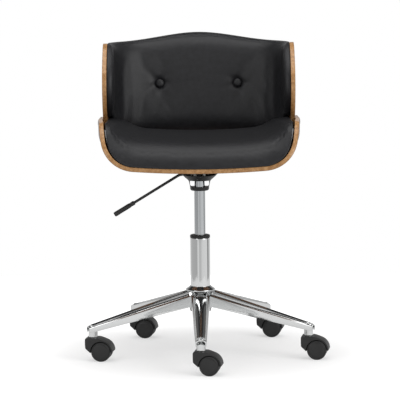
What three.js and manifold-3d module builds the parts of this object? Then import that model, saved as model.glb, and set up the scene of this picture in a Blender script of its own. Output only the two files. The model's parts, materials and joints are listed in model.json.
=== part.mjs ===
// A swivel office chair: two bent-plywood shells with upholstered pads on a height-adjustable gas column,
// a five-arm steel base and five twin-wheel casters. Millimetres, +Z up, the sitter faces -Y.
import * as THREE from "three";
import { mergeVertices } from "three/addons/utils/BufferGeometryUtils.js";
import Module from "manifold-3d";

const wasm = await Module();
wasm.setup();

// ---------------------------------------------------------------- driving dimensions

const clearance = 0.4; // between pieces that touch or turn in each other
const past = 5; // how far a cutting body runs past what it cuts
const edgeBreak = 1.6; // small chamfer on turned pieces

// Casters
const wheelRadius = 25;
const wheelWidth = 17.5;
const wheelChamfer = 3;
const wheelWall = 5.5; // closed outer face of a wheel
const wheelWebGap = 0.8; // wheel to the hood's middle web
const webThickness = 9;
const axleRadius = 3.5;
const axleBoss = 6; // wall of the boss round the axle
const trail = 22.5; // axle behind the swivel axis
const casterYaw = -9; // degrees, the way the casters were left standing
const fenderGap = 1.6;
const fenderWall = 3.6;
const fenderArc = 68; // degrees that the fender follows the wheel from behind
const fenderSkirt = 7; // lower edge of the hood below the axle
const hoodCrown = 4.4; // flat top above the fender's arc
const hoodFront = 17.6; // hood ahead of the swivel axis
const hoodNose = 17; // height of the hood's upright front
const hoodEdge = 4;
const hoodInset = 1.2; // wheel faces stand proud of the hood
const stemRadius = 5.5;
const stemDepth = 14.6; // stem inside the hood
const stemLength = 40;
const stemNeck = 1; // depth of the groove near the stem's top
const stemNeckDrop = 14;
const stemNeckLength = 9;

// Base
const armCount = 5;
const firstArmAngle = 270; // degrees from +X
const casterCircle = 287; // radius of the swivel axes
const armOverhang = 13; // arm beyond the swivel axis
const armRootTop = 163.5;
const armCap = 3; // arm's top above the stem
const armRootHeight = 38;
const armEndHeight = 15.5;
const armRootWidth = 47;
const armEndWidth = 27;
const armWall = 2.5;
const armShoulder = 0.27; // share of the height taken by the sloping shoulder
const armRidge = 0.42; // share of the width that stays flat on top
const sleeveWall = 5.1;
const sleeveGap = 0.8; // sleeve above the hood
const hubWall = 5;
const hubFootWall = 2.9;
const hubLength = 66;
const hubCollar = 8.5; // collar's overhang over the arms
const hubCollarHeight = 3.5;
const hubCone = 9; // sloping top above the collar
const hubLip = 1.5;

// Gas column
const tubeRadius = 25;
const tubeTaper = 1.6; // how much thinner the tube's foot is
const tubeWall = 2;
const tubeFootRise = 3; // tube's lower end above the hub's
const tubeFloor = 4;
const tubeExposed = 124; // tube above the hub
const collarHeight = 7.5;
const collarProud = 0.6;
const bushingLength = 76;
const heightTravel = 100;
const bottomGap = 2.6; // cylinder above the bearing when fully down
const cylinderRadius = 14;
const cylinderWall = 2.6;
const cylinderLength = 223;
const cylinderGland = 12;
const cylinderPlug = 60; // solid upper end that holds the valve
const coneLength = 32; // tapered end in the mechanism's socket
const coneTaper = 1.2;
const rodRadius = 4.5;
const pistonGap = 3; // piston above the gland when fully out
const pistonHeight = 13;
const rodTail = 9; // rod below the tube's floor
const grooveDepth = 1;
const clipThickness = 1.6;
const clipRadius = 9;
const clipMouthHalf = 2.2;
const bearingRadius = 13.5;
const bearingHeight = 6;
const valveRadius = 3.4;
const valveProud = 8;
const valveBore = 14;
const valveStroke = 2.6;

// Seat mechanism
const socketDepth = 27; // socket's lower edge below the cylinder's top
const socketHeight = 9;
const socketRadius = 24;
const socketRoll = 2.4; // rolled lower edge
const strutRadius = 27.5;
const windowDrop = 1; // window's top below the cylinder's
const windowHalfWidth = 24.4;
const windowCorner = 7;
const windowTopCorner = 2.5;
const bellWall = 2.6;
const bellRise = 13; // front edge of the bell above the cylinder's top
const bellNotchHalf = 43;
const bellNotchBack = 19.6; // how near the axis the front opening comes
const bellRadius = 56;
const bellFlare = 5; // height of the curves at both ends of the flare
const seatRise = 41.7; // seat shell above the cylinder's top
const flangeThickness = 3;
const flangeWidth = 168;
const flangeDepth = 150;
const flangeCorner = 14;
const seatBoltInsetX = 18;
const seatBoltInsetY = 19;
const boltRadius = 3;
const boltHeadRadius = 6.5;
const boltHeadHeight = 4;
const gusset = 5.4; // half the space between the lever's ears
const earThickness = 2.6;
const earLength = 22;
const earDrop = 5; // ears below the lever's axis
const screwSpacing = 23;
const screwSetback = 25.2; // screws behind the bell's front
const screwRadius = 5;
const screwHeadHeight = 6;

// Lever
const leverRadius = 3.5;
const leverPivotX = -20;
const leverBladeHeight = 9;
const leverBladeHalf = 2.6;
const leverBladeTail = 14; // blade outside the pivot
const leverTipX = 5;
const leverLift = 1; // blade above the valve pin
const leverSlotDrop = 11; // slot below the lever's axis
const leverBendX = -50;
const leverBend = 7; // length of each half of the bend
const leverSlope = 31.3; // degrees below level
const leverReach = 159; // sloping rod, bend to end
const gripRadius = 6.2;
const gripLength = 60;
const gripOverlap = 22; // rod inside the grip
const gripNeck = 12; // narrower collar at the grip's mouth
const gripStep = 0.6;
const pivotRadius = 2.2;
const pivotProud = 2;

// Plywood shells. Heights are above the seat's underside, depths ahead of the back's rear face.
const ply = 11;
const seatFront = -240;
const seatRear = 205;
const seatHalfFront = 248.5; // half the width at the top of the wings
const seatFlare = 8.7; // how much wider each side is at the rear
const seatCornerFront = 86;
const seatCornerRear = 76;
const seatWingLean = 8; // degrees that the wings open outwards at the front, and nothing at the rear
const seatSplayFront = 75; // where the widening starts, behind the front edge
const seatSplayRear = 175; // where it ends, ahead of the rear edge
const splaySteps = 4;
const seatBow = 6; // sag of the seat's underside
const wingFrontHeight = 121.3;
const wingRearHeight = 105.3;
const wingSlopeFoot = 42; // height where the front edge starts to slope back
const wingSlopeLean = 4;
const wingSlopeDepth = 53; // how far back the slope's top is
const wingShoulder = 20; // bend of the top edge behind the end of the widening
const wingRearFoot = 60;
const wingRearLean = 14;
const wingCorners = [20, 44, 30, 24, 14]; // rounding, from the front foot to the rear foot
const nestGap = 0.8; // back shell inside the seat's wings
const backSetback = 39; // back's rear face behind the seat's rear edge
const backLean = 8; // degrees
const backLeanHeight = 75.3; // height where the setback is measured
const backCorner = 118;
const backBow = 14;
const backBottomHeight = 54.3;
const backTabHeight = 81.3; // lower edge of the tabs inside the seat's wings
const backTabFront = 180;
const backTabRear = 94;
const backTabHeel = 45; // where the tab's rear curve reaches the lower edge
const backFootHeight = 109.3;
const backFootDepth = 204;
const backBulgeHeight = 209.3; // the wings' front edge bulges forwards
const backBulgeDepth = 299;
const backHeadHeight = 302.5; // top of the wings' rounded heads
const backHeadDrop = 14;
const backHeadDepth = 178;
const backHeadRound = 12;
const backTopDepth = 148; // where the top edge starts to fall behind the head
const backDipDepth = 54; // where it has fallen to the shoulder
const backDipLength = 13;
const backShoulderHeight = 293.8; // top edge beside the crown
const backHeadEdge = 8; // the head's inner slope, as seen from the front
const backHeadRun = 12;
const backCrown = 21.5;
const backCrownFlat = 40; // level part of the top edge at each side
const shellBoltHeight = 97.3;
const shellBoltDepths = [160, 112];
const shellBoltCap = 8;
const shellBoltDome = 3.4;

// Upholstery
const seatPadStrip = 5; // wing left bare between its inner face and the pad
const seatPadGap = 0.7;
const seatPadDepth = 51;
const seatPadSide = 19;
const seatPadInnerCorner = 48;
const seatPadBow = 3;
const seatPadNose = 3; // pad ahead of the shell's front edge
const seatPadRearGap = 35; // pad's rear edge ahead of the shell's
const seatPadPlanCorner = 95; // rear corners, which clear the back shell
const seatNose = 46; // height of the rounded front edge
const seatNoseDepth = 56;
const seatPadInset = 1; // pad below the wing's edge
const backPadSide = 17;
const backPadDepth = 40;
const backPadInnerCorner = 86;
const backPadBottomHeight = 50.3;
const backPadSideHeight = 113.3; // lower edge of the pad's sides
const backPadHeel = 8; // pad's lower edge behind the seat pad
const backPadHeelCurve = 36;
const backPadProud = 6; // pad above the shell's top edge
const backPadHeadDrop = 1.5; // pad below the shell's heads
const backPadInset = 9; // pad behind the shell's front edge
const buttonRadius = 10;
const buttonHeight = 7;
const buttonX = 102;
const buttonSeatHeight = 190.3;
const buttonDimple = 3;
const dimpleGap = 2;

// ---------------------------------------------------------------- sizes that follow

const radians = THREE.MathUtils.degToRad;
const lerp = THREE.MathUtils.lerp;
const sides = { left: -1, right: 1 };

const hoodReach = wheelRadius + fenderGap + fenderWall;
const hoodHeight = wheelRadius + hoodReach + hoodCrown;
const stemSeat = hoodHeight - stemDepth;
const stemTop = stemSeat + stemLength;

const armEnd = casterCircle + armOverhang;
const armEndTop = stemTop + armCap;
const hubRadius = tubeRadius + hubWall;
const hubTop = armRootTop + hubCollarHeight + hubCone;
const hubBottom = hubTop - hubLength;

const tubeBottom = hubBottom + tubeFootRise;
const tubeTop = hubTop + tubeExposed;
const tubeBore = tubeRadius - tubeWall;
const bearingBottom = tubeBottom + tubeFloor + clearance;
const cylinderBottom = bearingBottom + bearingHeight + bottomGap + heightTravel;
const cylinderTop = cylinderBottom + cylinderLength;

const socketBottom = cylinderTop - socketDepth;
const socketTop = socketBottom + socketHeight;
const windowTop = cylinderTop - windowDrop;
const bellLip = cylinderTop + bellRise;
const seatUnderside = cylinderTop + seatRise;
const seatBase = seatUnderside + ply;
const flangeTop = seatUnderside - clearance;
const flangeBottom = flangeTop - flangeThickness;
const seatBoltX = flangeWidth / 2 - seatBoltInsetX;
const seatBoltY = flangeDepth / 2 - seatBoltInsetY;

const seatHalfRear = seatHalfFront + seatFlare;
const seatSplayStart = seatFront + seatSplayFront;
const seatSplayEnd = seatRear - seatSplayRear;
const wingTopFront = seatUnderside + wingFrontHeight;
const wingTopRear = seatUnderside + wingRearHeight;

const backHalf = seatHalfRear - ply - nestGap;
const backRear = seatRear + backSetback;
const backShoulder = seatUnderside + backShoulderHeight;
const backHead = seatUnderside + backHeadHeight;
const backTop = backShoulder + backCrown + backPadProud;
const shellBoltZ = seatUnderside + shellBoltHeight;
const shellBoltY = shellBoltDepths.map((depth) => backRear - depth);
const leanShift = (z) => Math.tan(radians(backLean)) * (z - seatUnderside - backLeanHeight);

const wallTop = Math.max(wingTopFront, seatBase + seatBow + seatCornerFront) + past; // untrimmed U walls
const seatPadHalf = seatHalfFront - ply - seatPadStrip;
const seatPadFront = seatFront - seatPadNose;
const seatPadRear = seatRear - seatPadRearGap;
const buttonZ = seatUnderside + buttonSeatHeight;

// ---------------------------------------------------------------- materials

const finish = {
  chrome: { color: 0xc6c8c8, roughness: 0.12, metalness: 1 },
  steel: { color: 0xa8a8a6, roughness: 0.35, metalness: 1 },
  blackSteel: { color: 0x1d1d1c, roughness: 0.5, metalness: 0.2 },
  nylon: { color: 0x333333, roughness: 0.5, metalness: 0 },
  walnut: { color: 0x9c7048, roughness: 0.4, metalness: 0 },
  leather: { color: 0x363638, roughness: 0.45, metalness: 0 },
};

// ---------------------------------------------------------------- solids

function solid(geometry) {
  const bare = geometry.index ? geometry.toNonIndexed() : geometry.clone();
  bare.deleteAttribute("normal");
  bare.deleteAttribute("uv");
  const merged = mergeVertices(bare, 1e-4);
  const triVerts = new Uint32Array(merged.index.array);
  const vertProperties = new Float32Array(merged.attributes.position.array);
  return new wasm.Manifold(new wasm.Mesh({ numProp: 3, vertProperties, triVerts }));
}

function geometryOf(body) {
  const mesh = body.getMesh();
  const geometry = new THREE.BufferGeometry();
  geometry.setAttribute("position", new THREE.BufferAttribute(mesh.vertProperties, 3));
  geometry.setIndex(new THREE.BufferAttribute(mesh.triVerts, 1));
  return geometry;
}

// A shape drawn in X and Z, extruded from y0 to y1.
function frontPrism(shape, y0, y1, curveSegments) {
  const geometry = new THREE.ExtrudeGeometry(shape, { depth: y1 - y0, bevelEnabled: false, curveSegments });
  return solid(geometry.rotateX(Math.PI / 2).translate(0, y1, 0));
}

// A shape drawn in Y and Z, extruded from x0 to x1.
function sidePrism(shape, x0, x1, curveSegments = 6) {
  const geometry = new THREE.ExtrudeGeometry(shape, { depth: x1 - x0, bevelEnabled: false, curveSegments });
  const turn = new THREE.Matrix4().makeBasis(
    new THREE.Vector3(0, 1, 0),
    new THREE.Vector3(0, 0, 1),
    new THREE.Vector3(1, 0, 0),
  );
  return solid(geometry.applyMatrix4(turn).translate(x0, 0, 0));
}

function box(x0, x1, y0, y1, z0, z1) {
  const geometry = new THREE.BoxGeometry(x1 - x0, y1 - y0, z1 - z0);
  return solid(geometry.translate((x0 + x1) / 2, (y0 + y1) / 2, (z0 + z1) / 2));
}

// A closed profile of [radius, height] points turned about Z.
function turned(profile, segments) {
  const points = profile.map(([r, z]) => new THREE.Vector2(r, z));
  const onAxis = profile[0][0] === 0 && profile[profile.length - 1][0] === 0;
  if (!onAxis) points.push(points[0].clone());
  return solid(new THREE.LatheGeometry(points, segments).rotateX(Math.PI / 2));
}

function cylinder(radius, z0, z1, segments = 20) {
  return turned([[0, z0], [radius, z0], [radius, z1], [0, z1]], segments);
}

function crossCylinder(radius, y0, y1, x, z, segments = 20) {
  return cylinder(radius, -y1, -y0, segments).rotate([90, 0, 0]).translate([x, 0, z]);
}

// An outline of [x, y, radius] corners, with each corner rounded.
function rounded(corners) {
  const shape = new THREE.Shape();
  corners.forEach(([x, y, radius = 0], i) => {
    const [px, py] = corners[(i + corners.length - 1) % corners.length];
    const [nx, ny] = corners[(i + 1) % corners.length];
    const back = Math.hypot(px - x, py - y);
    const ahead = Math.hypot(nx - x, ny - y);
    const startX = x + ((px - x) * radius) / back;
    const startY = y + ((py - y) * radius) / back;
    if (i === 0) shape.moveTo(startX, startY);
    else shape.lineTo(startX, startY);
    if (radius > 0) {
      const endX = x + ((nx - x) * radius) / ahead;
      const endY = y + ((ny - y) * radius) / ahead;
      shape.quadraticCurveTo(x, y, endX, endY);
    }
  });
  shape.closePath();
  return shape;
}

// The direction that a closed ring faces, by the right-hand rule.
function ringNormal(ring) {
  const normal = new THREE.Vector3();
  ring.forEach((p, i) => normal.add(new THREE.Vector3().crossVectors(p, ring[(i + 1) % ring.length])));
  return normal.normalize();
}

// Rings of equal length joined into one closed body, with flat ends.
function loft(stations) {
  const last = stations.length - 1;
  const heading = stations[last][0].clone().sub(stations[0][0]);
  const backwards = ringNormal(stations[0]).dot(heading) < 0;
  const rings = backwards ? stations.map((ring) => [...ring].reverse()) : stations;
  const count = rings[0].length;
  const position = rings.flat().flatMap((p) => [p.x, p.y, p.z]);
  const index = [];
  for (let r = 0; r < last; r++) {
    for (let i = 0; i < count; i++) {
      const a = r * count + i;
      const b = r * count + ((i + 1) % count);
      index.push(a, b, b + count, a, b + count, a + count);
    }
  }
  const u = rings[0][1].clone().sub(rings[0][0]).normalize();
  const v = ringNormal(rings[0]).cross(u);
  const flat = rings[0].map((p) => new THREE.Vector2(p.dot(u), p.dot(v)));
  for (const [a, b, c] of THREE.ShapeUtils.triangulateShape(flat, [])) {
    index.push(a, c, b);
    index.push(last * count + a, last * count + b, last * count + c);
  }
  const geometry = new THREE.BufferGeometry();
  geometry.setAttribute("position", new THREE.Float32BufferAttribute(position, 3));
  geometry.setIndex(index);
  return solid(geometry);
}

// Half the width of a U's bowed floor, which meets its corners without a kink.
// The U is `half` wide to each side at `height`, where its sides open outwards by `lean` degrees.
function floorHalfOf({ half, corner, bow, lean = 0, height = 0 }) {
  const tilt = radians(lean);
  const straight = height - bow - corner * (1 - Math.sin(tilt));
  const centre = half - corner * Math.cos(tilt) - straight * Math.tan(tilt);
  return (centre + Math.sqrt(centre ** 2 + 8 * bow * corner)) / 2;
}

// Half-open U line: down one side, round a corner, along a bowed floor, and up the other side.
// It runs `inset` inside the U that `section` describes.
function uLine(section, inset, base, top, arcSteps = 8, floorSteps = 4) {
  const { corner, bow, lean = 0 } = section;
  const floorHalf = floorHalfOf(section);
  const tilt = radians(lean);
  const slope = Math.atan((2 * bow) / floorHalf);
  const centre = floorHalf - corner * Math.sin(slope);
  const middle = base + bow + corner * Math.cos(slope);
  const radius = corner - inset;
  const wallEnd = middle - radius * Math.sin(tilt);
  const line = [[-centre - radius * Math.cos(tilt) - (top - wallEnd) * Math.tan(tilt), top]];
  for (let i = 0; i <= arcSteps; i++) {
    const angle = lerp(Math.PI / 2 - tilt, slope, i / arcSteps);
    line.push([-centre - radius * Math.sin(angle), middle - radius * Math.cos(angle)]);
  }
  const floorEnd = centre + radius * Math.sin(slope);
  for (let i = 1; i < floorSteps; i++) {
    const x = -floorEnd + (2 * floorEnd * i) / floorSteps;
    line.push([x, base + inset + bow * (x / floorHalf) ** 2]);
  }
  const mirrored = line
    .slice(0, arcSteps + 2)
    .reverse()
    .map(([x, z]) => [-x, z]);
  return [...line, ...mirrored];
}

// A closed U-shaped wall between an outer and an inner line.
function uRing(outer, inner, place) {
  return [...outer, ...[...inner].reverse()].map(([u, v]) => place(u, v));
}

const root = new THREE.Group();

function add(name, body, look, parent = root) {
  const mesh = new THREE.Mesh(geometryOf(body), new THREE.MeshStandardMaterial(finish[look]));
  mesh.name = name;
  parent.add(mesh);
  return mesh;
}

// ---------------------------------------------------------------- casters

const wheelSegments = 20;
const treadRadius = wheelRadius / Math.cos(Math.PI / wheelSegments); // its flats are at wheelRadius
const wheelInner = webThickness / 2 + wheelWebGap;
const wheelOuter = wheelInner + wheelWidth;
const axleReach = wheelOuter - wheelWall - clearance;

// Twin wheel, its closed face away from the web; side is -1 or 1.
function wheelSolid(side) {
  const bore = axleRadius + clearance;
  const wheel = turned(
    [
      [0, wheelOuter - wheelWall],
      [bore, wheelOuter - wheelWall],
      [bore, wheelInner],
      [treadRadius, wheelInner],
      [treadRadius, wheelOuter - wheelChamfer],
      [treadRadius - wheelChamfer, wheelOuter],
      [0, wheelOuter],
    ],
    wheelSegments,
  );
  const flatDown = wheel.rotate([0, 0, 180 / wheelSegments]);
  const onAxle = side > 0 ? flatDown.rotate([-90, 0, 0]) : flatDown.rotate([90, 0, 0]);
  return onAxle.translate([trail, 0, wheelRadius]);
}

function hoodOutline() {
  const skirt = wheelRadius - fenderSkirt;
  const shape = new THREE.Shape();
  shape.moveTo(trail + hoodReach, wheelRadius);
  shape.absarc(trail, wheelRadius, hoodReach, 0, radians(fenderArc), false);
  shape.quadraticCurveTo(hoodFront, hoodHeight, hoodFront - hoodEdge, hoodHeight);
  shape.lineTo(-hoodFront + hoodEdge, hoodHeight);
  shape.quadraticCurveTo(-hoodFront, hoodHeight, -hoodFront, hoodHeight - hoodEdge);
  shape.lineTo(-hoodFront, hoodHeight - hoodNose);
  shape.quadraticCurveTo(-hoodFront, wheelRadius, trail - hoodReach, skirt);
  shape.lineTo(trail, skirt);
  shape.closePath();
  return shape;
}

// Hood over both wheels: one moulding, with a bay for each wheel and a web that carries the axle and the stem.
function hoodSolid() {
  const half = wheelOuter - hoodInset;
  const bay = wheelRadius + fenderGap;
  const web = webThickness / 2;
  const skirt = wheelRadius - fenderSkirt;
  const bore = axleRadius + clearance;
  let hood = frontPrism(hoodOutline(), -half, half, 5);
  for (const [y0, y1] of [[web, half + past], [-half - past, -web]]) {
    hood = hood
      .subtract(crossCylinder(bay, y0, y1, trail, wheelRadius, 22))
      .subtract(box(-hoodFront - past, trail + hoodReach + past, y0, y1, -past, skirt));
  }
  return hood
    .add(crossCylinder(axleRadius + axleBoss, -web, web, trail, wheelRadius, 14))
    .subtract(crossCylinder(bore, -half, half, trail, wheelRadius, 14))
    .subtract(cylinder(stemRadius + clearance, stemSeat - clearance, hoodHeight + past, 14));
}

function stemSolid() {
  const neck = stemRadius - stemNeck;
  const groove = stemTop - stemNeckDrop;
  return turned(
    [
      [0, stemSeat],
      [stemRadius, stemSeat],
      [stemRadius, groove],
      [neck, groove + stemNeck],
      [neck, groove + stemNeckLength - stemNeck],
      [stemRadius, groove + stemNeckLength],
      [stemRadius - edgeBreak, stemTop],
      [0, stemTop],
    ],
    14,
  );
}

for (let i = 0; i < armCount; i++) {
  const angle = radians(firstArmAngle + (360 / armCount) * i);
  const caster = new THREE.Group();
  caster.position.set(casterCircle * Math.cos(angle), casterCircle * Math.sin(angle), 0);
  caster.rotation.z = radians(casterYaw);
  root.add(caster);
  const number = i + 1;
  add(`caster_${number}_stem`, stemSolid(), "steel", caster);
  add(`caster_${number}_hood`, hoodSolid(), "nylon", caster);
  const axle = crossCylinder(axleRadius, -axleReach, axleReach, trail, wheelRadius, 14);
  add(`caster_${number}_axle`, axle, "steel", caster);
  add(`caster_${number}_wheel_left`, wheelSolid(-1), "nylon", caster);
  add(`caster_${number}_wheel_right`, wheelSolid(1), "nylon", caster);
}

// ---------------------------------------------------------------- five-arm base

const sleeveBottom = hoodHeight + sleeveGap;
const hubBore = (z) => tubeFootRadius(z) + clearance;

// The tube narrows below the hub's top, so the load wedges it in.
function tubeFootRadius(z) {
  const down = THREE.MathUtils.clamp((hubTop - z) / (hubTop - tubeBottom), 0, 1);
  return tubeRadius - tubeTaper * down;
}

// Section of an arm at distance r: flat top, sloping shoulders, upright sides.
function armSection(r, inset) {
  const t = (r - hubRadius) / (armEnd - hubRadius);
  const top = lerp(armRootTop, armEndTop, t) - inset;
  const height = lerp(armRootHeight, armEndHeight, t);
  const half = lerp(armRootWidth, armEndWidth, t) / 2;
  const wall = half - inset;
  const bottom = top + inset - height - (inset > 0 ? past : 0);
  const shoulder = top - height * armShoulder;
  const ridge = Math.min(half * armRidge, wall);
  const outline = [
    [-wall, bottom],
    [-wall, shoulder],
    [-ridge, top],
    [ridge, top],
    [wall, shoulder],
    [wall, bottom],
  ];
  return outline.map(([y, z]) => new THREE.Vector3(r, y, z));
}

// One arm along +X: an open-bottomed channel with the caster's sleeve, cut to its share of the turn.
function armSolid() {
  const outside = loft([hubRadius - past, armEnd].map((r) => armSection(r, 0)));
  const hollow = loft([hubRadius - 2 * past, armEnd + past].map((r) => armSection(r, armWall)));
  const endTop = armSection(casterCircle, armWall)[2].z;
  const sleeve = cylinder(stemRadius + clearance + sleeveWall, sleeveBottom, endTop + armWall / 2, 16);
  const bore = cylinder(stemRadius + clearance, sleeveBottom - past, stemTop + armCap / 2, 14);
  const hubSpace = cylinder(hubRadius + clearance, hubBottom - past, hubTop + past, 30);
  const share = Math.tan(Math.PI / armCount);
  const mitre = clearance / 2 / Math.sin(Math.PI / armCount);
  const sectorEnd = armEnd + past;
  const sectorHalf = (sectorEnd - mitre) * share;
  const wedge = new THREE.Shape([
    new THREE.Vector2(mitre, 0),
    new THREE.Vector2(sectorEnd, -sectorHalf),
    new THREE.Vector2(sectorEnd, sectorHalf),
  ]);
  const sector = solid(new THREE.ExtrudeGeometry(wedge, { depth: hubTop, bevelEnabled: false }));
  return outside
    .subtract(hollow)
    .add(sleeve.translate([casterCircle, 0, 0]))
    .subtract(bore.translate([casterCircle, 0, 0]))
    .subtract(hubSpace)
    .intersect(sector);
}

const arm = armSolid();
for (let i = 0; i < armCount; i++) {
  const mesh = add(`base_arm_${i + 1}`, arm, "chrome");
  mesh.rotation.z = radians(firstArmAngle + (360 / armCount) * i);
}

const hubCollarRadius = hubRadius + hubCollar;
const hubCollarTop = armRootTop + hubCollarHeight;
const hub = turned(
  [
    [hubBore(hubBottom), hubBottom],
    [hubBore(hubBottom) + hubFootWall, hubBottom],
    [hubRadius, armRootTop - armRootHeight],
    [hubRadius, armRootTop + clearance],
    [hubCollarRadius, armRootTop + clearance],
    [hubCollarRadius, hubCollarTop],
    [hubCollarRadius - hubCone / 3, hubCollarTop + hubCone / 3],
    [hubBore(hubTop) + hubLip, hubTop],
    [hubBore(hubTop), hubTop],
  ],
  30,
);
add("base_hub", hub, "chrome");

// ---------------------------------------------------------------- gas column

const floorHole = rodRadius + clearance;
const footBore = tubeFootRadius(tubeBottom) - tubeWall;
add(
  "column_outer_tube",
  turned(
    [
      [floorHole, tubeBottom],
      [tubeFootRadius(tubeBottom), tubeBottom],
      [tubeRadius, hubTop],
      [tubeRadius, tubeTop],
      [tubeBore, tubeTop],
      [tubeBore, hubTop],
      [footBore, tubeBottom + tubeFloor],
      [floorHole, tubeBottom + tubeFloor],
    ],
    28,
  ),
  "chrome",
);

const bushingBore = cylinderRadius + clearance;
add(
  "column_guide_bushing",
  turned(
    [
      [bushingBore, tubeTop - bushingLength],
      [tubeBore - clearance, tubeTop - bushingLength],
      [tubeBore - clearance, tubeTop + clearance],
      [tubeRadius + collarProud, tubeTop + clearance],
      [tubeRadius + collarProud, tubeTop + collarHeight - edgeBreak],
      [tubeRadius + collarProud - edgeBreak, tubeTop + collarHeight],
      [bushingBore, tubeTop + collarHeight],
    ],
    28,
  ),
  "nylon",
);

const coneTopRadius = cylinderRadius - coneTaper;
const glandTop = cylinderBottom + cylinderGland;
const cylinderBore = cylinderRadius - cylinderWall;
const valveTop = cylinderTop + valveProud;
const valveSeat = cylinderTop - valveBore;
add(
  "gas_cylinder",
  turned(
    [
      [rodRadius + clearance, cylinderBottom],
      [cylinderRadius, cylinderBottom],
      [cylinderRadius, cylinderTop - coneLength],
      [coneTopRadius, cylinderTop],
      [valveRadius + clearance, cylinderTop],
      [valveRadius + clearance, valveSeat],
      [0, valveSeat],
    ],
    24,
  ).subtract(
    turned(
      [
        [0, cylinderBottom - past],
        [rodRadius + clearance, cylinderBottom - past],
        [rodRadius + clearance, glandTop],
        [cylinderBore, glandTop],
        [cylinderBore, cylinderTop - cylinderPlug],
        [0, cylinderTop - cylinderPlug],
      ],
      18,
    ),
  ),
  "chrome",
);

add(
  "valve_pin",
  turned(
    [
      [0, valveSeat + valveStroke],
      [valveRadius, valveSeat + valveStroke],
      [valveRadius, valveTop - edgeBreak],
      [valveRadius - edgeBreak, valveTop],
      [0, valveTop],
    ],
    16,
  ),
  "steel",
);

const pistonBottom = glandTop + pistonGap;
const rodBottom = tubeBottom - rodTail;
const clipBottom = tubeBottom - clearance - clipThickness;
const clipTop = clipBottom + clipThickness;
const grooveRadius = rodRadius - grooveDepth;
add(
  "piston_rod",
  turned(
    [
      [0, rodBottom],
      [rodRadius - edgeBreak / 2, rodBottom],
      [rodRadius, rodBottom + edgeBreak / 2],
      [rodRadius, clipBottom - clearance],
      [grooveRadius, clipBottom - clearance],
      [grooveRadius, clipTop + clearance / 2],
      [rodRadius, clipTop + clearance / 2],
      [rodRadius, pistonBottom],
      [cylinderBore - clearance, pistonBottom],
      [cylinderBore - clearance, pistonBottom + pistonHeight],
      [0, pistonBottom + pistonHeight],
    ],
    16,
  ),
  "steel",
);
const clipRing = turned(
  [
    [grooveRadius + clearance, clipBottom],
    [clipRadius, clipBottom],
    [clipRadius, clipTop],
    [grooveRadius + clearance, clipTop],
  ],
  20,
);
const clipMouth = box(0, clipRadius + past, -clipMouthHalf, clipMouthHalf, clipBottom - past, clipTop + past);
add("retaining_clip", clipRing.subtract(clipMouth), "steel");
add(
  "thrust_bearing",
  turned(
    [
      [floorHole, bearingBottom],
      [bearingRadius, bearingBottom],
      [bearingRadius, bearingBottom + bearingHeight],
      [floorHole, bearingBottom + bearingHeight],
    ],
    20,
  ),
  "steel",
);

// ---------------------------------------------------------------- seat mechanism

const coneRadius = (z) => {
  const up = THREE.MathUtils.clamp((z - cylinderTop + coneLength) / coneLength, 0, 1);
  return cylinderRadius - coneTaper * up;
};

// The stamped bell: a rolled socket ring, straight struts, and an S-shaped flare that reaches into the flange.
function bellSolid() {
  const bellTop = flangeBottom + flangeThickness / 3;
  const flare = new THREE.CubicBezierCurve(
    new THREE.Vector2(strutRadius, windowTop - windowTopCorner),
    new THREE.Vector2(strutRadius, windowTop - windowTopCorner + bellFlare),
    new THREE.Vector2(bellRadius, bellLip),
    new THREE.Vector2(bellRadius, bellTop),
  );
  const outside = flare.getPoints(5).map((p) => [p.x, p.y]);
  const ringTop = [socketRadius + clearance, socketTop];
  const inside = [ringTop, ...outside].map(([r, z]) => [r - bellWall, z]);
  return turned(
    [
      [socketRadius - socketRoll, socketBottom],
      [socketRadius, socketBottom + socketRoll],
      ringTop,
      ...outside,
      ...inside.reverse(),
      [coneRadius(socketTop) + clearance, socketTop],
      [coneRadius(socketBottom) + clearance, socketBottom],
    ],
    24,
  );
}

function windowShape() {
  return rounded([
    [-windowHalfWidth, windowTop, windowTopCorner],
    [-windowHalfWidth, socketTop, windowCorner],
    [windowHalfWidth, socketTop, windowCorner],
    [windowHalfWidth, windowTop, windowTopCorner],
  ]);
}

const leverAxisZ = valveTop + leverLift + leverBladeHeight / 2;

// Bell and flange in one stamping, cut for the see-through window, the open front and the lever's slot.
function mechanismSolid() {
  const reach = bellRadius + past;
  const flangeX = flangeWidth / 2;
  const flangeY = flangeDepth / 2;
  const plate = rounded([
    [-flangeX, -flangeY, flangeCorner],
    [flangeX, -flangeY, flangeCorner],
    [flangeX, flangeY, flangeCorner],
    [-flangeX, flangeY, flangeCorner],
  ]);
  const flange = solid(
    new THREE.ExtrudeGeometry(plate, { depth: flangeThickness, bevelEnabled: false, curveSegments: 4 }),
  ).translate([0, 0, flangeBottom]);
  const slot = leverRadius + edgeBreak;
  const cutTop = flangeBottom - clearance;
  let body = bellSolid()
    .add(flange)
    .subtract(frontPrism(windowShape(), -reach, reach, 4))
    .subtract(box(-bellNotchHalf, bellNotchHalf, -reach, -bellNotchBack, bellLip, cutTop))
    .subtract(box(-reach, leverPivotX, -slot, slot, leverAxisZ - leverSlotDrop, cutTop));
  const earStart = leverPivotX - earLength / 2;
  for (const [y0, y1] of [[gusset, gusset + earThickness], [-gusset - earThickness, -gusset]]) {
    const ear = box(earStart, earStart + earLength, y0, y1, leverAxisZ - earDrop, flangeBottom + clearance);
    body = body.add(ear);
  }
  const pinHole = gusset + earThickness + past;
  body = body.subtract(crossCylinder(pivotRadius + clearance, -pinHole, pinHole, leverPivotX, leverAxisZ, 14));
  return body.subtract(seatBoltHoles(flangeBottom, flangeTop));
}

// Four bolt holes in a square, through everything between z0 and z1.
function seatBoltHoles(z0, z1) {
  const hole = cylinder(boltRadius + clearance, z0 - past, z1 + past, 14);
  return seatBoltSpots.map(([x, y]) => hole.translate([x, y, 0])).reduce((all, one) => all.add(one));
}

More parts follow.
